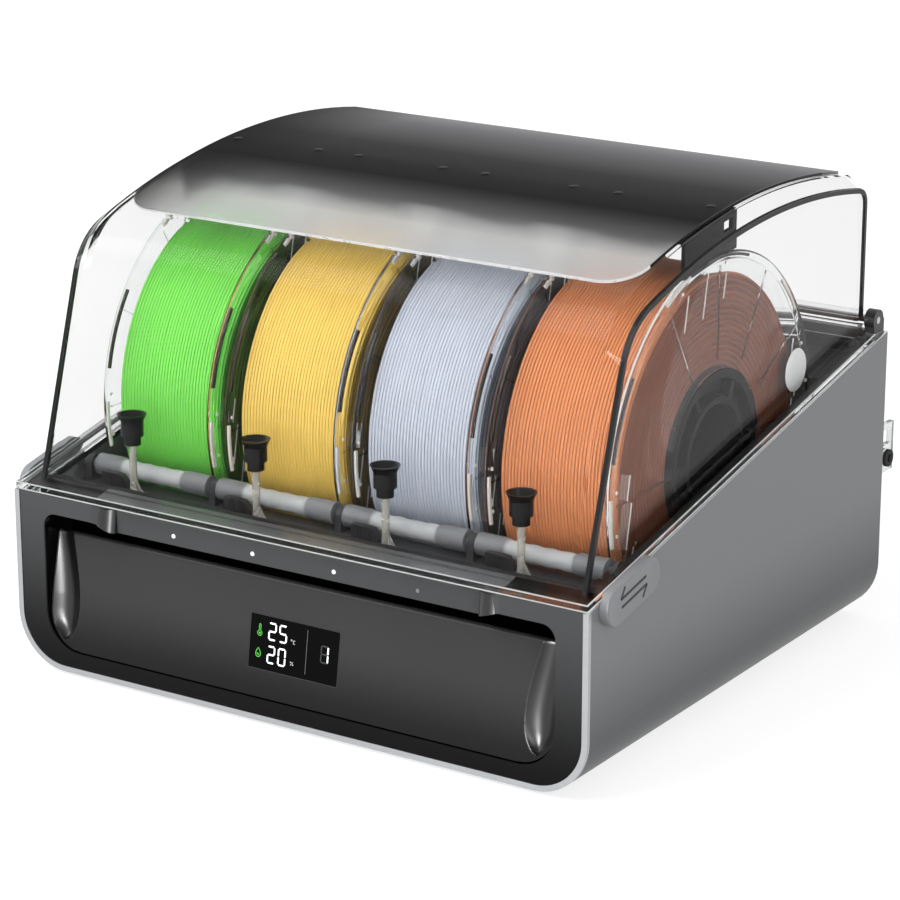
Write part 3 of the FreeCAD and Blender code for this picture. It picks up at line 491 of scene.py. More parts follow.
def status_lens(last_x):
    """Light pipes: milky white and lit, apart from the one past last_x, which is dark."""
    made, tree, shader = material("milky_light_pipe", {"Base Color": linear("8F9193") + [1], "Roughness": 0.3,
                                                       "Emission Color": linear("F5F8FF") + [1]})
    place = add(tree, "TexCoord")
    split = add(tree, "SeparateXYZ", {"Vector": place.outputs["Object"]})
    lit = add(tree, "Math", {0: split.outputs["X"], 1: last_x}, operation="LESS_THAN")
    tree.links.new(lit.outputs[0], shader.inputs["Emission Strength"])
    return made


def clear_plastic(name, base, rough, clear, haze_patch, index):
    """Clear moulded plastic: sees through, reflects at glancing angles, faintly hazed in patches."""
    made, tree, shader = material(name, {"Transmission Weight": clear, "IOR": index,
                                         "Specular IOR Level": 0.25})
    place = drift(tree, shader, base, 0.02, haze_patch, rough, rough * 0.6)
    grain(tree, shader, place, haze_patch / 4, 0.02, 0.03)
    return made


def smoked_panel(front_y, rear_y, left_x):
    """Smoked frosted acrylic: milky at its front edge, where colours show through it, and denser towards the
    rear; over the last 60 mm at its left end it is darkened by painted shade."""
    left_shade_span = 60 * MM
    made, tree, shader = material("smoked_frosted_acrylic", {"IOR": 1.09, "Specular IOR Level": 0.2})
    place = add(tree, "TexCoord")
    split = add(tree, "SeparateXYZ", {"Vector": place.outputs["Object"]})
    depth = add(tree, "MapRange", {"Value": split.outputs["Y"], "From Min": front_y, "From Max": rear_y})
    clear = add(tree, "MapRange", {"Value": depth.outputs[0], "From Min": 0.3, "From Max": 0.6,
                                   "To Min": 0.86, "To Max": 0.3})
    tree.links.new(clear.outputs[0], shader.inputs["Transmission Weight"])
    ramp = add(tree, "ValToRGB", {"Fac": depth.outputs[0]})
    stops = ((0.0, "FFFFFF"), (0.11, "FAFAF8"), (0.21, "A4A4A6"), (0.33, "262627"), (0.55, "3A3A3B"),
             (0.8, "747476"), (1.0, "9C9C9E"))
    while len(ramp.color_ramp.elements) < len(stops):
        ramp.color_ramp.elements.new(0.5)
    for element, (at, code) in zip(ramp.color_ramp.elements, stops):
        element.position = at
        element.color = linear(code) + [1]
    # Painted shade: the colour darkens over the last 60 mm at the left end.
    end = add(tree, "MapRange", {"Value": split.outputs["X"], "From Min": left_x,
                                 "From Max": left_x + left_shade_span, "To Min": 0.1})
    smoke = add(tree, "Mix", {"Factor": 1.0, "A": ramp.outputs[0], "B": end.outputs[0]}, data_type="RGBA",
                blend_type="MULTIPLY")
    tree.links.new(smoke.outputs["Result"], shader.inputs["Base Color"])
    frost = add(tree, "TexNoise", {"Vector": place.outputs["Object"], "Scale": 1 / (1.5 * MM)})
    rough = add(tree, "MapRange", {"Value": frost.outputs[0], "To Min": 0.4, "To Max": 0.5})
    tree.links.new(rough.outputs[0], shader.inputs["Roughness"])
    return made


def filament(name, base, middle, rim):
    """Satin PLA wire: even colour with a soft highlight along each turn. The sides of the winding, inside its
    rim,
    get painted shade: a deeper colour for the shade between the layers."""
    made, tree, shader = material(name, {"Subsurface Weight": 0.08, "Specular IOR Level": 0.4,
                                         "Subsurface Radius": (2 * MM, 2 * MM, 2 * MM)})
    place = drift(tree, shader, list(base), 0.07, 12, 0.42, 0.06)
    away = add(tree, "VectorMath", {0: place.outputs[0], 1: middle}, operation="SUBTRACT")
    upright = add(tree, "VectorMath", {0: away.outputs[0], 1: (0, 1, 1)}, operation="MULTIPLY")
    reach = add(tree, "VectorMath", {0: upright.outputs[0]}, operation="LENGTH")
    inside = add(tree, "Math", {0: reach.outputs["Value"], 1: rim}, operation="LESS_THAN")
    # Painted shade: the winding's sides, inside its rim, turn a deeper colour.
    tint(tree, shader, inside, [0.5 * channel ** 1.5 for channel in base])
    return made


def banded_roller(middle_x, band):
    """Grey moulded roller: darker grips at its ends and a paler sleeve between them."""
    made, tree, shader = material("grey_tpu_roller", {"Roughness": 0.5})
    place = add(tree, "TexCoord")
    split = add(tree, "SeparateXYZ", {"Vector": place.outputs["Object"]})
    across = add(tree, "Math", {0: split.outputs["X"], 1: middle_x}, operation="SUBTRACT")
    reach = add(tree, "Math", {0: across.outputs[0]}, operation="ABSOLUTE")
    sleeve = add(tree, "MapRange", {"Value": reach.outputs[0], "From Min": band - MM, "From Max": band + MM})
    speck = add(tree, "TexNoise", {"Vector": place.outputs["Object"], "Scale": 1 / (3 * MM)})
    pale = add(tree, "Mix", {"Factor": speck.outputs[0], "A": linear("B0B3B4") + [1],
                             "B": linear("BABDBE") + [1]}, data_type="RGBA")
    tree.links.new(pale.outputs["Result"], shader.inputs["Base Color"])
    tint(tree, shader, sleeve, linear("75777A"))
    return made


def brushed_steel():
    """Drawn steel rod: grey metal with faint lines along it."""
    made, tree, shader = material("drawn_steel", {"Metallic": 1.0})
    drift(tree, shader, linear("B4B6B8"), 0.1, 1.5, 0.32, 0.08, (0.05, 1, 1))
    return made


def circuit_board():
    """Green solder mask with faint darker tracks, drawn about 2 mm apart."""
    made, tree, shader = material("solder_mask", {"Roughness": 0.4})
    place = add(tree, "TexCoord")
    tracks = add(tree, "TexWave", {"Vector": place.outputs["Object"], "Scale": 1 / (6 * MM),
                                   "Distortion": 4.0})
    tone = add(tree, "Mix", {"Factor": tracks.outputs[1], "A": linear("1E5B34") + [1],
                             "B": linear("2C7A47") + [1]}, data_type="RGBA")
    tree.links.new(tone.outputs["Result"], shader.inputs["Base Color"])
    return made


# Operators
class DressBase(bpy.types.Operator):
    """Finishes the base, its decks, trays and what is fixed in it."""
    bl_idname = "dryer.base"
    bl_label = "Base"

    def execute(self, context):
        above_rim = 0.6 * MM
        dress(painted_shell(rim_line(0)[1][2] + above_rim), "base_shell")
        dress(anodised_trim(), "front_edge_trim")
        dress(moulded("black_rubber", linear("1A1A1B"), 0.75, 1.0), "feet", "rim_seal", "clip_grommet")
        dark = moulded("dark_textured_abs", linear("414143"), 0.62, 1.6, 0.06, 0.05, 0.15)
        dress(dark, "feed_deck", "rear_deck", "reel_tray", "feeder_modules")
        dress(brushed_steel(), "roller_axles", "hinge_pins", "tray_screws")
        dress(moulded("grey_polypropylene", linear("8C8E90"), 0.55), "desiccant_cases")
        dress(circuit_board(), "control_board")
        dress(moulded("black_abs", linear("161617"), 0.4, 0.9), "outlet_block", "power_socket")
        dress(clear_plastic("clear_clip", linear("E4E6E6"), 0.1, 0.9, 20, 1.45), "rear_clip")
        rim_strips()
        return {"FINISHED"}


def rim_line(side_x):
    """Front and rear end of the rim at side_x."""
    low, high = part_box("front_edge_trim")
    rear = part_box("base_shell")[1].y
    foot = high.z - rim_slope() * (high.y - low.y)
    return np.array([(side_x, low.y, foot), (side_x, rear, foot + rim_slope() * (rear - low.y))])


def rim_slope():
    """Rise of the rim for each unit to the rear; the latches lie along it."""
    return np.tan(bpy.context.scene.dryer_latches.turn)


def rim_strips():
    """Bright edge along the top of each side wall: a thin strip on the rim."""
    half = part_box("base_shell")[1].x
    wide = 1.3 * MM
    tall = 0.35 * MM
    sunk = -0.1 * MM
    section = np.array([(-wide, sunk), (0, sunk), (0, 0.6 * tall), (-0.3 * wide, tall), (-wide, tall)])
    shapes = [carried(section, rim_line(side * half), (side, 0, 0), UP) for side in SIDES]
    piece("rim_edge_strips", shapes, bright_edge(), "base", "silver_trim")


class DressFront(bpy.types.Operator):
    """Finishes the bezel, fascia and lights, and draws the display's digits and icons."""
    bl_idname = "dryer.front"
    bl_label = "Front"

    def execute(self, context):
        look = context.scene.dryer_front
        low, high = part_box("front_bezel")
        foot = list(look.foot)
        # The bezel's tone darkens from its top to its foot: painted shade.
        made, *nodes = front_black("gloss_black_abs_painted_shade", foot, list(look.gloss), 0.2, 0.1, low.z, high.z)
        dress(made, "front_bezel")
        inside = low.y + MM
        low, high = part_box("display_fascia")
        step = high.x + look.fascia_gap - look.strip_end + look.strip_step
        above_slot = high.z + look.finger_gap - 0.2 * MM
        # The pocket behind the front face is painted near black: painted shade.
        paint_pocket_shade(*nodes, inside, step, above_slot)
        # The fascia darkens from 0.6 of its height down to its foot: painted shade.
        shade_start = low.z + 0.6 * (high.z - low.z)
        fascia(look, front_black("satin_black_abs_painted_shade", foot, list(look.fascia), 0.3, 0.2, low.z, shade_start)[0])
        polished = polished_black()
        scoop_inlays(look, polished)
        # A near-black sheet in the finger slot stands in for its shade.
        slot_shade_sheet()
        step_facets(look, polished)
        dress(display_glass(), "display_window")
        status_lights(look)
        draw_display(look)
        return {"FINISHED"}


def leaning(look):
    """Directions up along the leaning fascia, and out of its front face."""
    return (0, sin(look.lean), cos(look.lean)), (0, -cos(look.lean), sin(look.lean))


def fascia_place(look):
    """Maps (across, up, out) on the leaning fascia to a point; out is forwards from its front face."""
    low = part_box("display_fascia")[0]
    return plane((0, low.y, low.z + look.thickness * sin(look.lean)), RIGHT, *leaning(look))


def fascia_half(look, rise):
    """Half the fascia's width at a height: it narrows round the lower corners."""
    corner = np.clip(look.low_round - rise, 0, None)
    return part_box("display_fascia")[1].x - look.low_round + np.sqrt(look.low_round ** 2 - corner ** 2)


def scoop_edges(look, share):
    """Outer and inner edge of a side scoop, in from the fascia's end, and its depth, at a share of its
    height: the edges part at a round foot; then the outer one runs along the end, and the inner one swells
    out and draws in again. The depth fades towards the foot and the top."""
    foot_share = 0.18
    widest_low = 0.62
    top_fade = 0.55
    tall = leaning_plate("display_fascia", look.lean)[0]
    rise = look.scoop_foot + share * (tall - look.scoop_foot)
    round_foot = np.sqrt(1 - (1 - np.clip(share / foot_share, 0, 1)) ** 2)
    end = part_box("display_fascia")[1].x - fascia_half(look, rise) + look.scoop_edge
    outer = end + (look.scoop_tip - end) * (1 - round_foot)
    swell = look.scoop_swell * np.sin(pi * share ** widest_low)
    inner = look.scoop_tip + (look.scoop_edge + look.scoop_top - look.scoop_tip) * round_foot + swell
    return outer, inner + TINY, look.scoop_depth * round_foot * (1 - top_fade * share ** 2)


def fascia_sink(look, x, rise):
    """How far the fascia's front lies back: a rounded top edge, and at each end a scoop that is a parabola
    across, with an outer edge that curls back towards the top."""
    curl_from = 0.4
    tall = leaning_plate("display_fascia", look.lean)[0]
    over = np.clip(rise - tall + look.top_round, 0, None)
    sink = look.top_round - np.sqrt(look.top_round ** 2 - over ** 2)
    share = np.clip((rise - look.scoop_foot) / (tall - look.scoop_foot), 0, 1)
    outer, inner, depth = scoop_edges(look, share)
    across = (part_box("display_fascia")[1].x - np.abs(x) - outer) / (inner - outer)
    curled = np.clip((share - curl_from) / (1 - curl_from), 0, 1)
    curl = look.scoop_curl * curled * np.clip(1 - across, 0, 1) ** 2
    hollow = depth * np.clip(4 * across * (1 - across), 0, None) + curl
    return sink + np.where((across < 1) & (rise > look.scoop_foot), hollow, 0)


def leaning_plate(node, lean):
    """Height along the lean and thickness of a leaning plate, solved from the rise and run of its box."""
    low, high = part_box(node)
    rise = high.z - low.z
    run = high.y - low.y
    spread = cos(lean) ** 2 - sin(lean) ** 2
    return (rise * cos(lean) - run * sin(lean)) / spread, (run * cos(lean) - rise * sin(lean)) / spread


def fascia(look, finish):
    """Leaning plate: its front is a height field with a rounded top, a leaf-shaped scoop at each end
    and a sunk seat for the display; its sides narrow round the lower corners."""
    low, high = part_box("display_fascia")
    half = high.x
    tall = leaning_plate("display_fascia", look.lean)[0]
    seat_tall, seat_depth = leaning_plate("display_window", look.lean)
    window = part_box("display_window")
    step = np.array(window[0] - low) + (0, 0, (seat_depth - look.thickness) * sin(look.lean))
    seat_low = step[1] * sin(look.lean) + step[2] * cos(look.lean)
    seat_top = seat_low + seat_tall
    seat_half = window[1].x
    sharp = 0.02 * MM
    upright = 5 * MM
    least_wall = MM
    columns = np.concatenate([np.linspace(0, seat_half, 6), [seat_half + sharp],
                              np.linspace(seat_half, half, 160)[3:]])
    columns = np.unique(np.concatenate([-columns, columns]))
    near_top = tall - look.top_round * np.linspace(0, 1, 9) ** 2
    seat_edges = [seat_low - sharp, seat_low, seat_top, seat_top + sharp]
    rise = np.unique(np.concatenate([np.linspace(0, tall, 90), near_top, seat_edges]))
    inner = seat_half + upright
    reach = np.abs(columns)
    narrowed = inner + (reach - inner) / (half - inner) * (fascia_half(look, rise)[:, None] - inner)
    x = np.sign(columns) * np.where(reach <= inner, reach, narrowed)
    z = np.broadcast_to(rise[:, None], x.shape)
    sink = fascia_sink(look, x, z)
    seat = (np.abs(x) <= seat_half) & (z >= seat_low) & (z <= seat_top)
    sink = np.where(seat, seat_depth, sink)
    place = fascia_place(look)
    back = place(x, z, -np.maximum(look.thickness, sink + least_wall))
    rings = np.concatenate([place(x, z, -sink), back[:, ::-1]], 1)
    piece("fascia_plate", [capped(rings)], finish, "base", "black_gloss", "display_fascia")


def scoop_inlays(look, finish):
    """Polished skin of each side scoop: the part of the fascia's front between the scoop's two edges."""
    proud = 0.06 * MM
    sunk = 0.1 * MM
    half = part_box("display_fascia")[1].x
    tall = leaning_plate("display_fascia", look.lean)[0]
    share = np.linspace(0.004, 0.998, 90)[:, None]
    reach = np.linspace(0.01, 0.985, 41)[None]
    outer, inner = scoop_edges(look, share)[:2]
    in_from_end = outer + reach * (inner - outer)
    rise = look.scoop_foot + share * (tall - look.scoop_foot)
    sink = fascia_sink(look, half - in_from_end, rise)
    place = fascia_place(look)
    shapes = []
    for side in SIDES:
        x = side * (half - in_from_end)
        front = place(x, rise, proud - sink)
        back = place(x, rise, -sunk - sink)
        shapes.append(capped(np.concatenate([front, back[:, ::-1]], 1)))
    piece("scoop_inlays", shapes, finish, "base", "black_gloss")


def status_lights(look):
    """Small round light pipe for each reel, in the bezel's strip; the last one is dark."""
    depth = 2 * MM
    proud = 0.05 * MM
    low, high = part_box("status_lights")
    rim = (high.z - low.z) / 2
    ring = circle(look.light_radius, 24)
    places = np.linspace(low.x + rim, high.x - rim, len(REELS))
    shapes = []
    for x in places:
        place = plane((x, low.y, (low.z + high.z) / 2), RIGHT, UP, FRONT)
        shapes.append(prism(ring, place, -depth, proud))
    last_lit = places[-2:].mean()
    piece("status_light_pipes", shapes, status_lens(last_lit), "base", "light_lens", "status_lights")


def step_facets(look, finish):
    """Polished bead on each step of the hanging strip: half an ellipse in plan, over the step's slope, which
    leans back as the fascia does and rises from the strip's middle to its end."""
    fullness = 0.8
    bezel_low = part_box("front_bezel")[0]
    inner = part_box("display_fascia")[1].x + look.fascia_gap - look.strip_end
    turn = np.linspace(0, pi, 33)
    front = look.strip_setback + look.strip_proud
    half = look.strip_step / 2
    plan = np.stack([inner + half * (1 - np.cos(turn)),
                     look.strip_setback - front * np.clip(np.sin(turn), 0, 1) ** fullness], -1)
    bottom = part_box("display_fascia")[1].z + look.finger_gap
    shapes = []
    for side in SIDES:
        def place(across, depth, share, side=side):
            low = bottom + look.strip_drop * (across - inner) / look.strip_step
            z = low + share * (bottom + look.strip_height - low)
            return np.stack([side * across, bezel_low.y + depth + (z - bottom) * np.tan(look.lean), z], -1)

        shapes.append(prism(plan, place, 0, 1))
    piece("strip_step_facets", shapes, finish, "base", "black_gloss")


def slot_shade_sheet():
    """Near-black matt sheet on the back of the finger slot, standing in for its shade: a thin flat sheet
    behind the fascia's top.
    """
    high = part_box("display_fascia")[1]
    bezel_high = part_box("front_bezel")[1]
    wall = 2.5 * MM
    gap = 0.05 * MM
    thick = 0.25 * MM
    half = high.x - 8 * MM
    foot = high.z - 16 * MM
    top = bezel_high.z - 12 * MM
    place = plane((0, bezel_high.y - wall, 0), RIGHT, UP, FRONT)
    outline = [(-half, foot), (half, foot), (half, top), (-half, top)]
    # Painted shade: a near-black sheet put where the finger slot lies in shade.
    slot_shade_black = moulded("painted_slot_shade_black", linear("030303"), 0.9, 1.0, 0.1, 0.3, 0.0)
    piece("finger_slot_shade_sheet", [prism(outline, place, gap, gap + thick)], slot_shade_black, "base", "black_plastic")


SEGMENTS = {
    "a": ((0, 1), (1, 1)), "b": ((1, 0.5), (1, 1)), "c": ((1, 0), (1, 0.5)), "d": ((0, 0), (1, 0)),
    "e": ((0, 0), (0, 0.5)), "f": ((0, 0.5), (0, 1)), "g": ((0, 0.5), (1, 0.5)),
}
LIT = {"0": "abcdef", "1": "bc", "2": "abged", "5": "afgcd", "8": "abcdefg"}


def digit(character, centre, wide, tall, width):
    """Outlines of the strokes that a digit lights, of the seven on a lattice one wide and two tall."""
    corner = np.asarray(centre) - (wide / 2, tall / 2)
    scale = np.array([wide, tall])
    strokes = []
    for part in LIT[character]:
        start, end = (corner + scale * point for point in SEGMENTS[part])
        gap = 0.15 * width * (end - start) / np.linalg.norm(end - start)
        strokes.append(stroke(start + gap, end - gap, width))
    return strokes


def ring_strokes(points, width):
    """Outlines of the strokes that join points into a closed ring."""
    return [bar(start, end, width) for start, end in zip(points, np.roll(points, -1, 0))]


def unit_marks(first, second):
    """Degree mark with a C, and a per cent mark."""
    step = 0.9 * MM
    width = 0.32 * MM
    marks = ring_strokes(circle(0.4 * step, 8) + first + (-1.4 * step, step), width)
    corners = np.array([(1, 1), (0, 1), (0, -1), (1, -1)]) * step * (1.1, 0.9) + first
    marks += [bar(corners[i], corners[i + 1], width) for i in range(3)]
    slant = np.array([0.9 * step, step])
    marks.append(bar(np.array(second) - slant, np.array(second) + slant, width))
    for side in SIDES:
        marks.append(circle(0.42 * step, 8) + second + side * np.array([-0.8 * step, 0.7 * step]))
    return marks


def thermometer(centre):
    """Thermometer icon: a stem's outline on a round bulb."""
    turn = np.linspace(-0.8 * pi / 2, pi + 0.8 * pi / 2, 15)
    foot = np.array([0, -1.8 * MM])
    bulb = 1.4 * MM * np.stack([np.cos(turn - pi), np.sin(turn - pi)], -1) + foot
    cap = np.array([(0.5, 2.6), (0, 3.1), (-0.5, 2.6)]) * MM
    mercury = circle(0.6 * MM, 12) + centre + foot
    return ring_strokes(np.concatenate([bulb, cap]) + centre, 0.4 * MM) + [mercury]


def droplet(centre):
    """Droplet icon: a drop's outline, with a short curve inside it."""
    turn = np.linspace(0, 2 * pi, 24, endpoint=False)
    wide = 2.0 * MM * np.sin(turn) * np.sin(turn / 2)
    drop = np.stack([wide, 2.4 * MM * np.cos(turn)], -1) + centre
    start, end = np.array([(-0.8, -0.5), (0.6, -1.3)]) * MM + centre
    return ring_strokes(drop, 0.4 * MM) + [bar(start, end, 0.7 * MM)]


def draw_display(look):
    """Digits, unit marks, icons and lines of the display: flat outlines that stand a little proud, placed
    across from the window's left edge and down from its top edge."""
    pitch = 6.8
    lone_digit = (47.8, -13.8)
    low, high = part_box("display_window")
    tall = (high.z - low.z) / cos(look.lean)
    place = plane((low.x, low.y + tall * sin(look.lean), high.z), RIGHT, *leaning(look))
    wide, height, width = look.digit_width, look.digit_height, look.digit_stroke
    lit = []
    for text, x, y in (("25", 14.4, -8.2), ("20", 14.4, -20.6), ("1", *lone_digit)):
        for i, character in enumerate(text):
            lit += digit(character, ((x + pitch * i) * MM, y * MM), wide, height, width)
    divider = [bar((36.5 * MM, -3 * MM), (36.5 * MM, -26.5 * MM), 0.3 * MM)]
    units = unit_marks((28.0 * MM, -11.2 * MM), (27.8 * MM, -22.6 * MM))
    ghost = digit("8", np.array(lone_digit) * MM, wide, height, width * 0.8)
    ghost = [outline for outline, part in zip(ghost, LIT["8"]) if part not in LIT["1"]]
    icons = thermometer((6.4 * MM, -8.4 * MM)) + droplet((6.2 * MM, -20.6 * MM))
    edge = 0.25 * MM
    right = high.x - low.x
    border = [bar((0, -edge), (right, -edge), edge), bar((0, edge - tall), (right, edge - tall), edge),
              bar((edge, -tall), (edge, 0), edge), bar((right - edge, -tall), (right - edge, 0), edge)]
    groups = (("digits", lit, lit_mark("lit_digits", list(look.digits), 1.0)),
              ("units", units, lit_mark("lit_units", linear("B9BCBF"), 0.6)),
              ("lines", divider, lit_mark("lit_lines", linear("6A6C6E"), 0.12)),
              ("frame", border, moulded("grey_edge_print", linear("4A4A4C"), 0.4)),
              # The unlit segments glow faintly though nothing lights them: a painted glow.
              ("ghost", ghost, lit_mark("unlit_segments_painted_glow", linear("2C2D2F"), 0.15)),
              ("icons", icons, lit_mark("lit_icons", list(look.icons), 0.55)))
    for name, outlines, finish in groups:
        marks = [prism(outline, place, 0, look.mark_depth) for outline in outlines]
        piece("display_" + name, marks, finish, "base", "display_glass")


class DressFeed(bpy.types.Operator):
    """Finishes the funnels, tubes and gates, and adds the gates' ridges."""
    bl_idname = "dryer.feed"
    bl_label = "Feed"

    def execute(self, context):
        dress(gloss_black("black_turned_abs", linear("060607"), 0.18), "feed_funnels")
        feed_tubes(clear_plastic("milky_tube", linear("E6E4DC"), 0.25, 0.7, 6, 1.3))
        gate = moulded("dark_gate_abs", linear("2C2C2E"), 0.5, 0.8)
        dress(gate, "feed_gates")
        gate_ridges(gate)
        return {"FINISHED"}


def tube_places():
    """Axis of each feed tube: the deck's pieces repeat at the reels' pitch."""
    low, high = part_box("feed_funnels")
    mouth = (high.y - low.y) / 2
    return [(x, (low.y + high.y) / 2) for x in np.linspace(low.x + mouth, high.x - mouth, len(REELS))]


def feed_tubes(finish):
    """Milky tube under each funnel, turned from a thin wall with a wider foot, and a fin beside it, whose top
    falls off in a curve."""
    low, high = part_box("feed_tubes")
    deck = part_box("feed_gates")[0].z
    bore = 1.2 * MM
    outer = 2.1 * MM
    foot = 3.0 * MM
    wall = [(low.z, bore), (low.z, foot), (deck + 1 * MM, foot), (deck + 3 * MM, outer + 0.3 * MM),
            (deck + 6 * MM, outer), (high.z, outer), (high.z, bore)]
    fin_root = 0.8 * outer
    fin_length = 8 * MM
    fin_half = 0.8 * MM
    reach = np.linspace(0, 1, 9)
    curve = np.stack([fin_root + fin_length * reach, (1 + 8.5 * (1 - reach) ** 2.2) * MM], -1)
    fin = np.concatenate([[(fin_root, 0), (fin_root + fin_length, 0)], curve[::-1]])
    shapes = []
    for x, y in tube_places():
        shapes.append(turned(wall, (x, y, 0), 24, 2))
        shapes.append(prism(fin, plane((x, y, deck), RIGHT, UP, REAR), -fin_half, fin_half))
    piece("feed_tubes_milky", shapes, finish, "base", "clear_tube", "feed_tubes")


def gate_ridges(finish):
    """Upright ridges on the front and back of each gate."""
    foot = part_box("feed_gates")[0].z
    ridges = 5
    first = -17.0 * MM
    pitch = 2.2 * MM
    half = 2.5 * MM
    outline = np.array([(0, 0), (1.1, 0), (1.1, 10.4), (0, 10.4)]) * MM
    shapes = []
    for x, y in tube_places():
        for i in range(ridges):
            place = plane((x + first + pitch * i, y, foot), RIGHT, UP, REAR)
            shapes.append(prism(outline, place, -half, half))
    piece("gate_ridges", shapes, finish, "base", "black_plastic")


class DressReels(bpy.types.Operator):
    """Winds the filament, and makes the clear flanges, hubs and the blank label."""
    bl_idname = "dryer.reels"
    bl_label = "Reels"

    def execute(self, context):
        look = context.scene.dryer_reels
        colours = (look.first, look.second, look.third, look.fourth)
        clear = clear_plastic("clear_polystyrene", linear("F8F9F9"), 0.015, 1.0, 10, 1.16)
        black = moulded("black_hub_abs", linear("121213"), 0.5, 1.6, 0.06, 0.02, 0.15)
        # Pale pins and studs, and pale and dark rim dashes, which are painted highlights and painted shade.
        pale = moulded("pale_polystyrene_and_painted_highlight", linear("ECEAE4"), 0.35, 1.0)
        dark = moulded("painted_shade_rim_marks", linear("33302C"), 0.3, 1.0)
        for number, paint in zip(REELS, colours):
            body = "reel_%d" % number
            middle, half = middle_of("filament_%d_pack" % number)
            rim = half.y - 0.1 * MM
            winding(number, look, filament("pla_%d" % number, paint, middle, rim), body)
            for side in ("left", "right"):
                flange(number, side, look, clear, body)
                flange_marks(number, side, look, pale, dark, body)
            hub(number, black, body)
        blank_label(look)
        return {"FINISHED"}


FILAMENT_SLOTS = ("filament_green", "filament_yellow", "filament_grey", "filament_orange")


def winding(number, look, finish, body):
    """Outer layer: a round wire on a helix that strays a little, over a core with layered sides."""
    middle, half = middle_of("filament_%d_pack" % number)
    core_radius = half.y
    inner = middle_of("reel_%d_hub" % number)[1].y
    wire = look.wire
    orbit = core_radius + wire / 2
    first = -half.x
    last = half.x - look.side_gap
    steps = 96
    slow_wave = 0.37
    fast_wave = 1.7
    turn = np.linspace(0, 2 * pi * look.turns, look.turns * steps + 1)
    ends = first + wire / 2, last - wire / 2
    along = np.clip(np.linspace(*ends, len(turn)) + look.wander * np.sin(slow_wave * turn + number), *ends)
    lift = orbit + 0.5 * look.wander * np.sin(fast_wave * turn + number)
    out = np.stack([np.zeros_like(turn), np.cos(turn), np.sin(turn)], -1)
    path = np.array(middle) + lift[:, None] * out + along[:, None] * np.array(RIGHT)
    wire_shape = carried(circle(wire / 2, 8), path, RIGHT, out)
    layers = int((core_radius - inner) / look.layer)
    radius = np.linspace(inner, core_radius, layers * 8 + 1)
    dip = look.ridge * (1 - np.abs(np.sin(pi * (radius - inner) / look.layer)))
    outline = np.concatenate([np.stack([last - dip, radius], -1), np.stack([first + dip, radius], -1)[::-1]])
    piece("winding_%d" % number, [turned(outline, middle, steps), wire_shape], finish, body,
          FILAMENT_SLOTS[number - 1], "filament_%d_pack" % number, "filament_%d_turns" % number)


def flange(number, side, look, finish, body):
    """Clear disc turned from an outline with a rounded bead and a raised ring, with radial ribs on its
    outer face."""
    node = "reel_%d_%s_flange" % (number, side)
    middle, half = middle_of(node)
    low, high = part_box(node)
    outwards = 1 if side == "right" else -1
    face = high.x if outwards > 0 else low.x
    inner = middle_of("reel_%d_hub" % number)[1].y + 0.1 * MM
    outer = half.y
    bead = 2 * half.x
    thick = bead - MM
    outline = np.array([(0, inner), (0, outer - 4.6 * MM), (0.5 * MM, outer - 4 * MM), (0.5 * MM, outer - MM),
                        (-0.4 * MM, outer), (0.4 * MM - bead, outer), (-bead, outer - 0.6 * MM),
                        (-bead, outer - 3.4 * MM), (-thick, outer - 4.4 * MM), (-thick, inner)])
    outline = outline * (outwards, 1)
    shapes = [turned(outline, (face, middle.y, middle.z), 144)]
    margin = 6 * MM
    section = np.array([(-0.5, -0.2), (0.5, -0.2), (0.35, 1), (-0.35, 1)])
    section = section * (look.rib_width, look.rib_height * outwards)
    for turn in 2 * pi / look.rib_count * np.arange(look.rib_count):
        ray = np.array([0, cos(turn), sin(turn)])
        ends = (face, middle.y, middle.z) + np.outer([inner + margin, outer - margin], ray)
        shapes.append(carried(section, ends, (0, -ray[2], ray[1]), RIGHT))
    piece(node + "_clear", shapes, finish, body, "clear_flange", node)


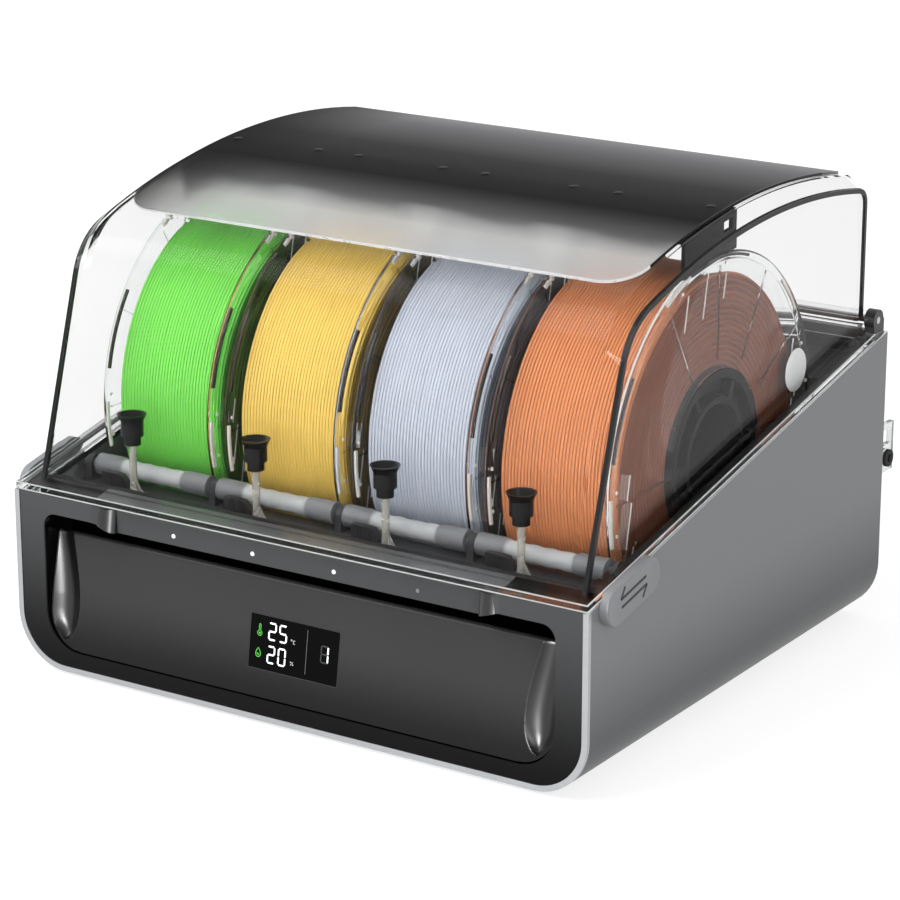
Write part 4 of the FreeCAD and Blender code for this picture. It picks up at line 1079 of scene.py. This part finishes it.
def flange_marks(number, side, look, pale, dark, body):
    """Groups of pale upright pins and studs on a flange's outer face, and round its rim pale dashes as
    painted highlights and dark dashes as painted shade."""
    node = "reel_%d_%s_flange" % (number, side)
    middle, half = middle_of(node)
    outwards = 1 if side == "right" else -1
    sunk = 0.4 * MM
    face = np.array([middle.x + outwards * (half.x - sunk), middle.y, middle.z])
    outer = half.y
    stud = [(-0.4 * MM, ON_AXIS), (0.6 * MM, ON_AXIS), (0.6 * MM, 0.9 * MM), (-0.4 * MM, 1.1 * MM)]
    stud_orbit = outer - 5.6 * MM
    dash_orbit = outer - 2.2 * MM
    dash_depth = MM
    lean = np.array([0, 0.2, 0.98])
    first_pin = radians(-4)
    pin_step = radians(13)
    pins = []
    for group in range(look.pin_groups):
        for i, share in enumerate((0.55, 1.0, 0.8)):
            turn = 2 * pi * group / look.pin_groups + first_pin + pin_step * i
            ray = np.array([0, cos(turn), sin(turn)])
            centre = face + (outer - 0.75 * look.pin_length) * ray
            reach = share * look.pin_length / 2
            ends = centre + np.outer([-reach, reach], lean)
            pins.append(carried(circle(look.pin_radius, 8), ends, (0, lean[2], -lean[1]), RIGHT))
            pins.append(turned(stud, face + stud_orbit * ray, 12))
    section = np.array([(-0.5, -0.7), (0.5, -0.7), (0.5, 0.7), (-0.5, 0.7)]) * MM
    arcs = {"dark": [], "pale": []}
    # Painted highlight and painted shade: pale and dark arcs round the clear rim.
    for tone, offset, length in (("dark", 0, 24), ("pale", 34, 14)):
        for i in range(look.dash_count):
            turn = 2 * pi * i / look.dash_count + radians(offset) + np.linspace(0, radians(length), 13)
            ray = np.stack([np.zeros_like(turn), np.cos(turn), np.sin(turn)], -1)
            path = face - (dash_depth * outwards, 0, 0) + dash_orbit * ray
            arcs[tone].append(carried(section, path, RIGHT, ray))
    piece(node + "_pins", pins + arcs["pale"], pale, body, "clear_flange")
    piece(node + "_dashes", arcs["dark"], dark, body, "clear_flange")


def hub(number, finish, body):
    """Black hub turned from an outline with a sunk ring in each face, and spokes across that ring."""
    middle, half = middle_of("reel_%d_hub" % number)
    outer = half.y
    bore_share = 27 / 46
    bore = outer * bore_share
    ring_low = bore + 4 * MM
    ring_high = outer - 5 * MM
    sink = 6 * MM
    bevel = 0.6 * MM
    front = np.array([(half.x - bevel, outer), (half.x, outer - bevel), (half.x, ring_high),
                      (half.x - sink, ring_high - MM), (half.x - sink, ring_low + MM), (half.x, ring_low),
                      (half.x, bore + bevel), (half.x - bevel, bore)])
    outline = np.concatenate([front, front[::-1] * (-1, 1)])
    shapes = [turned(outline, middle, 96)]
    spokes = 6
    wide = 1.6 * MM
    foot, top = -sink / 2, sink / 2 - MM
    section = np.array([(-wide, foot), (wide, foot), (wide, top), (-wide, top)])
    for i in range(spokes):
        turn = 2 * pi * i / spokes
        ray = np.array([0, cos(turn), sin(turn)])
        for side in SIDES:
            start = np.array([middle.x + side * (half.x - sink / 2), middle.y, middle.z])
            ends = start + np.outer([ring_low, ring_high], ray)
            shapes.append(carried(section, ends, (0, -ray[2], ray[1]), (side, 0, 0)))
    piece("reel_%d_hub_core" % number, shapes, finish, body, "hub_black", "reel_%d_hub" % number)


def blank_label(look):
    """Round blank label on the outer face of the last reel."""
    low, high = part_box("reel_4_right_flange")
    middle = (low + high) / 2
    centre = (high.x + look.rib_height + 0.1 * MM, middle.y + look.label_orbit * cos(look.label_turn),
              middle.z + look.label_orbit * sin(look.label_turn))
    r = look.label_radius
    thick = 0.3 * MM
    outline = [(0, ON_AXIS), (thick, ON_AXIS), (thick, r - 0.2 * MM), (0.1 * MM, r), (0, r)]
    paper = moulded("coated_paper", linear("E9EBEA"), 0.5, 0.8, 0.02)
    piece("blank_label", [turned(outline, centre, 48)], paper, "reel_4", "clear_flange")


class DressRollers(bpy.types.Operator):
    """Makes the segmented rollers."""
    bl_idname = "dryer.rollers"
    bl_label = "Rollers"

    def execute(self, context):
        band = context.scene.dryer_reels.roller_band
        for number in REELS:
            finish = banded_roller(middle_of("front_roller_%d" % number)[0].x, band)
            for place in ("front", "rear"):
                roller("%s_roller_%d" % (place, number), band, finish)
        return {"FINISHED"}


def roller(node, band, finish):
    """Roller turned from an outline: full radius at its grips, and a slimmer sleeve between them, whose
    radius follows a cosine."""
    bore = 2.6 * MM
    step = 1.5 * MM
    slimmer = 1.1 * MM
    wave = 0.25 * MM
    wave_length = 10 * MM
    middle, half = middle_of(node)
    along = np.linspace(-half.x, half.x, 81)
    waist = 0.5 - 0.5 * np.tanh((np.abs(along) - band) / step)
    radius = half.y - waist * (slimmer + wave * np.cos(2 * pi * along / wave_length))
    outline = np.concatenate([np.stack([along, radius], -1), [(half.x, bore), (-half.x, bore)]])
    piece(node + "_grip", [turned(outline, middle, 40)], finish, node, "roller_grey", node)


class DressLid(bpy.types.Operator):
    """Finishes the clear lid and its smoked panel, and adds dark edge lines of painted shade, screw marks,
    brackets, and painted highlight and shade strips on the flange and panel edges.
    """
    bl_idname = "dryer.lid"
    bl_label = "Lid"

    def execute(self, context):
        look = context.scene.dryer_lid
        dress(clear_plastic("clear_polycarbonate", linear("F3F3F3"), 0.01, 1.0, 60, 1.13), "lid_shell")
        low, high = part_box("lid_top_panel")
        dress(smoked_panel(low.y, high.y, low.x), "lid_top_panel")
        black = moulded("black_lid_abs", linear("141415"), 0.4, 1.0, shine=0.1)
        dress(black, "lid_bar", "reel_stops")
        dress(brushed_steel(), "lid_screws")
        edge_shade_lines(look)
        screw_marks(look, black)
        bar_brackets(look, black)
        flange_highlight_strips(look)
        panel_edge_highlight_and_shade(look)
        return {"FINISHED"}


def flange_highlight_strips(look):
    """Pale strips that paint highlights on the lid's flange: thin strips along its front and sides, at top
    and bottom.
    """
    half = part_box("base_shell")[1].x - 1 * MM
    front = base_front() + 0.5 * MM
    rim_back = 3 * MM
    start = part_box("front_edge_trim")[1].z - rim_slope() * rim_back
    rear = base_front() + look.rear
    # Painted highlight: pale half-clear strips where the flange's edges catch the light.
    finish = clear_plastic("painted_flange_highlight", linear("F2F4F4"), 0.2, 0.35, 8, 1.3)
    section = np.array([(-0.4, 0), (0.2, 0), (0.2, 0.5), (-0.4, 0.5)]) * MM
    shapes = []
    for lift in (0.5 * MM, 3.9 * MM):
        z = [start + lift + rim_slope() * (y - base_front()) for y in (front, rear)]
        for side in SIDES:
            path = np.array([(side * half, front, z[0]), (side * half, rear, z[1])])
            shapes.append(carried(section, path, (side, 0, 0), UP))
        path = np.array([(-half, front, z[0]), (half, front, z[0])])
        shapes.append(carried(section, path, FRONT, UP))
    piece("lid_flange_highlight_strips", shapes, finish, "lid", "clear_lid")


def bar_brackets(look, finish):
    """Black bracket at each end of the lid's bar: a plate that follows the arch, in four parts round a square
    window. Each part lies between two of the stations along the arch, a drop below its top."""
    low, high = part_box("lid_bar")
    thick = 2.2 * MM
    overlap = MM
    below_arch = 3 * MM
    y = np.linspace(low.y - 4 * MM, high.y + 6 * MM, 13)
    top = arch_height(look, y) - below_arch
    parts = ((0, 9, 0, 20 * MM), (11, 12, 0, 20 * MM), (9, 11, 0, 3.5 * MM), (9, 11, 9 * MM, 11 * MM))
    shapes = []
    for side in SIDES:
        place = plane((side * (high.x - overlap), 0, 0), REAR, UP, (side, 0, 0))
        for first, last, drop, depth in parts:
            span = np.stack([y, top - drop], -1)[first:last + 1]
            outline = np.concatenate([span, (span - (0, depth))[::-1]])
            shapes.append(prism(outline, place, 0, thick))
    piece("bar_end_brackets", shapes, finish, "lid", "black_plastic")


def panel_edge_highlight_and_shade(look):
    """Painted highlight on the smoked panel's front edge and painted shade on its side edges: thin strips on
    its rounded outline.
    """
    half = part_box("lid_top_panel")[1].x
    front = base_front() + look.panel_front
    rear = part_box("lid_top_panel")[1].y - look.panel_round
    corner = half - look.panel_round
    turn = np.linspace(0, pi / 2, 13)
    away = np.stack([np.cos(turn), -np.sin(turn)], -1)
    arc = (corner, front + look.panel_round) + look.panel_round * away
    mirror = np.array([-1, 1])
    lit = np.concatenate([arc, arc[::-1] * mirror]), np.concatenate([away, away[::-1] * mirror])
    along = np.linspace(rear, front + look.panel_round, 30)
    # Painted highlight and painted shade: a pale strip lights the front edge and dark strips shade the sides.
    pale = clear_plastic("painted_highlight_acrylic_edge", linear("F2F3F2"), 0.3, 0.3, 8, 1.2)
    dark = gloss_black("painted_shade_acrylic_edge", linear("161617"), 0.3)
    thick = look.panel_thickness
    highlight_share = 0.65
    gap = 0.1 * MM
    sunk = -0.3 * MM
    proud = 0.2 * MM

    def strip(points, outward, high):
        """Thin strip on the panel's edge, from a gap to high above the lid's arch."""
        path = np.column_stack([points, arch_height(look, points[:, 1])])
        right = np.column_stack([outward, np.zeros(len(points))])
        section = np.array([(sunk, gap), (proud, gap), (proud, high), (sunk, high)])
        return carried(section, path, right, UP)

    piece("panel_painted_highlight_edge", [strip(*lit, highlight_share * thick)], pale, "lid", "smoked_panel")
    sides = []
    for side in SIDES:
        points = np.stack([np.full_like(along, side * half), along], -1)
        sides.append(strip(points, np.broadcast_to([side, 0], points.shape), thick + gap))
    piece("panel_painted_shade_edges", sides, dark, "lid", "smoked_panel")


def arch_height(look, y):
    """Height of the lid's arch at y: a circle whose centre lies below its peak."""
    return look.height - look.radius + np.sqrt(look.radius ** 2 - (y - base_front() - look.peak) ** 2)


def base_front():
    """Front of the base, which the lid's sizes are measured from."""
    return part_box("front_edge_trim")[0].y


def lid_edge(look):
    """Points of the lid's outline at its ends, with outward normals: front wall, round, arch, round and rear
    wall."""
    front = base_front()
    along = np.array([sin(look.lean), cos(look.lean)])
    inward = np.array([cos(look.lean), -sin(look.lean)])
    base = np.array([front + look.front, look.foot])
    centre = np.array([front + look.peak, look.height - look.radius])
    radius = look.radius - look.drop
    first = base + inward * look.front_round
    gap = first - centre
    half_b = gap @ along
    first = first + along * (-half_b + sqrt(half_b ** 2 - gap @ gap + (radius - look.front_round) ** 2))
    last_y = front + look.rear - look.rear_round
    last = np.array([last_y, centre[1] + sqrt((radius - look.rear_round) ** 2 - (last_y - centre[0]) ** 2)])

    def arc(middle, r, start, end, count):
        """Points of an arc between two angles, and their normals."""
        turn = np.linspace(start, end, count)
        normal = np.stack([np.cos(turn), np.sin(turn)], -1)
        return middle + r * normal, normal

    start = pi - look.lean
    joint_1 = np.arctan2(*(first - centre)[::-1])
    joint_2 = np.arctan2(*(last - centre)[::-1])
    runs = [(np.array([base]), -inward[None]), arc(first, look.front_round, start, joint_1, 16),
            arc(centre, radius, joint_1, joint_2, 48), arc(last, look.rear_round, joint_2, 0, 8)]
    below_rim = 4 * MM
    foot = np.array([[front + look.rear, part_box("base_shell")[1].z - below_rim]])
    runs.append((foot, np.array([[1.0, 0]])))
    return [np.concatenate(group) for group in zip(*runs)]


def edge_shade_lines(look):
    """Dark line along each end of the lid, painted shade where the clear edge looks dark: a small rectangle
    carried along the end's outline.
    """
    points, normals = lid_edge(look)
    width = look.line_width
    proud = look.line_proud
    section = np.array([(-width, -width), (proud, -width), (proud, proud), (-width, proud)])
    # Painted shade: a dark strip stands in for the dark look of the lid's clear edge.
    finish = gloss_black("painted_edge_shade", linear("1C1C1D"), 0.3)
    up = np.column_stack([np.zeros(len(normals)), normals])
    shapes = []
    for side in SIDES:
        path = np.column_stack([np.full(len(points), side * look.end), points])
        shapes.append(carried(section, path, (side, 0, 0), up))
    piece("lid_edge_shade_lines", shapes, finish, "lid", "black_plastic")


def screw_marks(look, finish):
    """Screw heads that show on the smoked panel, two for each reel: low domes on the arch."""
    y = base_front() + look.screw_line
    above_arch = 1.6 * MM
    z = arch_height(look, y) + above_arch
    r = look.screw_radius
    outline = [(0.5 * MM, ON_AXIS), (0.45 * MM, 0.5 * r), (0.3 * MM, 0.8 * r), (0, r), (-MM, r),
               (-MM, ON_AXIS)]
    shapes = []
    for number in REELS:
        x = middle_of("reel_%d_hub" % number)[0].x
        for side in SIDES:
            shapes.append(turned(outline, (x + side * look.screw_spacing / 2, y, z), 24, 2))
    piece("panel_screw_heads", shapes, finish, "lid", "black_plastic")


class DressLatches(bpy.types.Operator):
    """Finishes the two latches and marks their slide arrows."""
    bl_idname = "dryer.latches"
    bl_label = "Latches"

    def execute(self, context):
        look = context.scene.dryer_latches
        grey = moulded("grey_latch_abs", linear("8E9093"), 0.38, 0.9)
        mark = moulded("dark_slide_mark", linear("2B2C2E"), 0.5, 0.8)
        for side, name in zip(SIDES, ("latch_left", "latch_right")):
            slider(look, side, name, grey)
            slide_marks(look, side, name, mark)
        return {"FINISHED"}


def latch_place(look, side, name):
    """Maps (along the rim, up from it, out) to a point; out is from the latch's outer face."""
    low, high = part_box(name)
    face = high.x if side > 0 else low.x
    middle = (low + high) / 2
    ahead = (0, cos(look.turn), sin(look.turn))
    up = (0, -sin(look.turn), cos(look.turn))
    return plane((face, middle.y, middle.z), ahead, up, (side, 0, 0))


def slider(look, side, name, finish):
    """Latch: a pill outline lofted from the wall outwards, its rim rounded and its face a shallow dish, with
    a tongue behind it."""
    depth = 5 * MM
    dish = 0.35 * MM
    dish_edge = 1.2 * MM
    place = latch_place(look, side, name)
    turn = np.linspace(0, 2 * pi, 64, endpoint=False)
    run = look.length / 2 - look.height / 2
    rounded = np.linspace(0, pi / 2, 8)
    inset = np.concatenate([[0], look.edge * (1 - np.cos(rounded)),
                            [look.edge + dish_edge, look.height / 2 - 0.1 * MM]])
    out = np.concatenate([[-depth], -look.edge + look.edge * np.sin(rounded), [-dish, -dish]])
    radius = look.height / 2 - inset[:, None]
    across = radius * np.cos(turn) + np.sign(np.cos(turn)) * run
    rise = radius * np.sin(turn)
    shapes = [capped(place(across, rise, out[:, None]))]
    tongue = np.array([(-8, -9), (8, -9), (8, -3), (-8, -3)]) * MM
    tongue_end = 10.5 * MM
    overlap = 0.2 * MM
    shapes.append(prism(tongue, place, -tongue_end, overlap - depth))
    piece(name + "_slider", shapes, finish, name, "latch_grey", name)


def slide_marks(look, side, name, finish):
    """Two opposite half arrows on a latch's outer face, along the rim."""
    place = latch_place(look, side, name)
    half = look.arrow_length / 2
    gap = look.arrow_gap / 2
    barb = look.arrow_barb
    deepest = 0.5 * MM
    face = 0.2 * MM
    strokes = []
    for way in SIDES:
        tip = np.array([-way * half, way * gap])
        strokes.append(bar((way * half, way * gap), tip, look.arrow_stroke))
        strokes.append(bar(tip, tip + way * np.array([barb, barb]), look.arrow_stroke))
    shapes = [prism(outline, place, -deepest, -face) for outline in strokes]
    piece(name + "_slide_marks", shapes, finish, name, "latch_grey")


class SetStage(bpy.types.Operator):
    """Sets the floor, the lights, the world and the camera."""
    bl_idname = "dryer.stage"
    bl_label = "Stage"

    def execute(self, context):
        look = context.scene.dryer_stage
        context.scene.view_settings.view_transform = "Standard"
        pale_floor(look)
        soft_world(look)
        lamp("key", (-0.9, -1.3, 1.9), 1.6, look.key, 1.6)
        lamp("right_strip", (1.95, -1.0, 0.55), 0.35, look.fill, 1.4)
        lamp("left_strip", (-2.1, -0.35, 0.55), 0.45, look.fill, 1.4)
        mirrored = lamp("front_strip", (0.75, -2.07, 0.42), 0.7, look.streak, 1.3)
        mirrored.visible_diffuse = False
        mirrored.visible_transmission = False
        aim_camera(look)
        return {"FINISHED"}


def seen_by_eye(tree):
    """One for camera, glossy and transmission rays, and nought for the rest."""
    path = add(tree, "LightPath")
    first = add(tree, "Math", {0: path.outputs["Is Camera Ray"], 1: path.outputs["Is Glossy Ray"]},
                operation="MAXIMUM")
    return add(tree, "Math", {0: first.outputs[0], 1: path.outputs["Is Transmission Ray"]},
               operation="MAXIMUM").outputs[0]


def pale_floor(look):
    """Flat floor: white paper that keeps the shadow, lifted to white for the eye."""
    half = look.floor_half
    mesh = bpy.data.meshes.new("floor")
    corners = [(-half, -half, 0), (half, -half, 0), (half, half, 0), (-half, half, 0)]
    mesh.from_pydata(corners, [], [(0, 1, 2, 3)])
    floor = bpy.data.objects.new("floor", mesh)
    bpy.context.scene.collection.objects.link(floor)
    made, tree, shader = material("white_paper", {"Roughness": 0.9, "Specular IOR Level": 0.1,
                                                  "Emission Color": (1, 1, 1, 1)})
    drift(tree, shader, list(look.floor), 0.01, 200, 0.9, 0.02)
    glow = 0.78
    lift = add(tree, "Math", {0: seen_by_eye(tree), 1: glow}, operation="MULTIPLY")
    tree.links.new(lift.outputs[0], shader.inputs["Emission Strength"])
    mesh.materials.append(made)


def soft_world(look):
    """Even pale light from all round; the eye, and what mirrors or lets through, sees it white."""
    world = bpy.data.worlds.new("pale_room")
    bpy.context.scene.world = world
    world.use_nodes = True
    tree = world.node_tree
    tree.nodes.clear()
    strength = add(tree, "MapRange", {"Value": seen_by_eye(tree), "To Min": look.sky, "To Max": 1.0})
    sky = add(tree, "Background", {"Color": (1, 1, 1, 1), "Strength": strength.outputs[0]})
    add(tree, "OutputWorld", {"Surface": sky.outputs[0]})


def lamp(name, place, width, power, height):
    """Rectangular soft light aimed at the object."""
    light = bpy.data.lights.new(name, "AREA")
    light.shape = "RECTANGLE"
    light.size = width
    light.size_y = height
    light.energy = power
    made = bpy.data.objects.new(name, light)
    bpy.context.scene.collection.objects.link(made)
    made.location = place
    middle = Vector((0, 0, 120 * MM))
    made.rotation_euler = (middle - Vector(place)).to_track_quat("-Z", "Y").to_euler()
    return made


def aim_camera(look):
    """Camera on a circle round its target."""
    back = Vector((sin(look.azimuth) * cos(look.elevation), -cos(look.azimuth) * cos(look.elevation),
                   sin(look.elevation)))
    data = bpy.data.cameras.new("camera")
    data.sensor_width = 36
    data.lens = look.lens
    data.clip_end = 50
    camera = bpy.data.objects.new("camera", data)
    bpy.context.scene.collection.objects.link(camera)
    camera.location = Vector(look.target) + back * look.distance
    camera.rotation_euler = (-back).to_track_quat("-Z", "Y").to_euler()
    bpy.context.scene.camera = camera


class DryerPanel(bpy.types.Panel):
    """Lists the operators in the sidebar."""
    bl_idname = "VIEW3D_PT_dryer"
    bl_label = "Filament dryer box"
    bl_space_type = "VIEW_3D"
    bl_region_type = "UI"
    bl_category = "Dryer box"

    def draw(self, context):
        for operator in OPERATORS:
            self.layout.operator(operator.bl_idname)


LOOKS = {"dryer_front": FrontLook, "dryer_reels": ReelLook, "dryer_lid": LidLook, "dryer_latches": LatchLook,
         "dryer_stage": StageLook}
OPERATORS = (DressBase, DressFront, DressFeed, DressReels, DressRollers, DressLid, DressLatches, SetStage)


def register():
    """Registers the looks, the operators and the panel."""
    for made in (*LOOKS.values(), *OPERATORS, DryerPanel):
        bpy.utils.register_class(made)
    for name, look in LOOKS.items():
        setattr(bpy.types.Scene, name, PointerProperty(type=look))


def unregister():
    """Takes back what register does."""
    for name in LOOKS:
        delattr(bpy.types.Scene, name)
    for made in (DryerPanel, *reversed(OPERATORS), *reversed(LOOKS.values())):
        bpy.utils.unregister_class(made)


def main():
    """Runs each operator in order."""
    register()
    for operator in OPERATORS:
        group, name = operator.bl_idname.split(".")
        getattr(getattr(bpy.ops, group), name)()


if __name__ == "__main__":
    main()
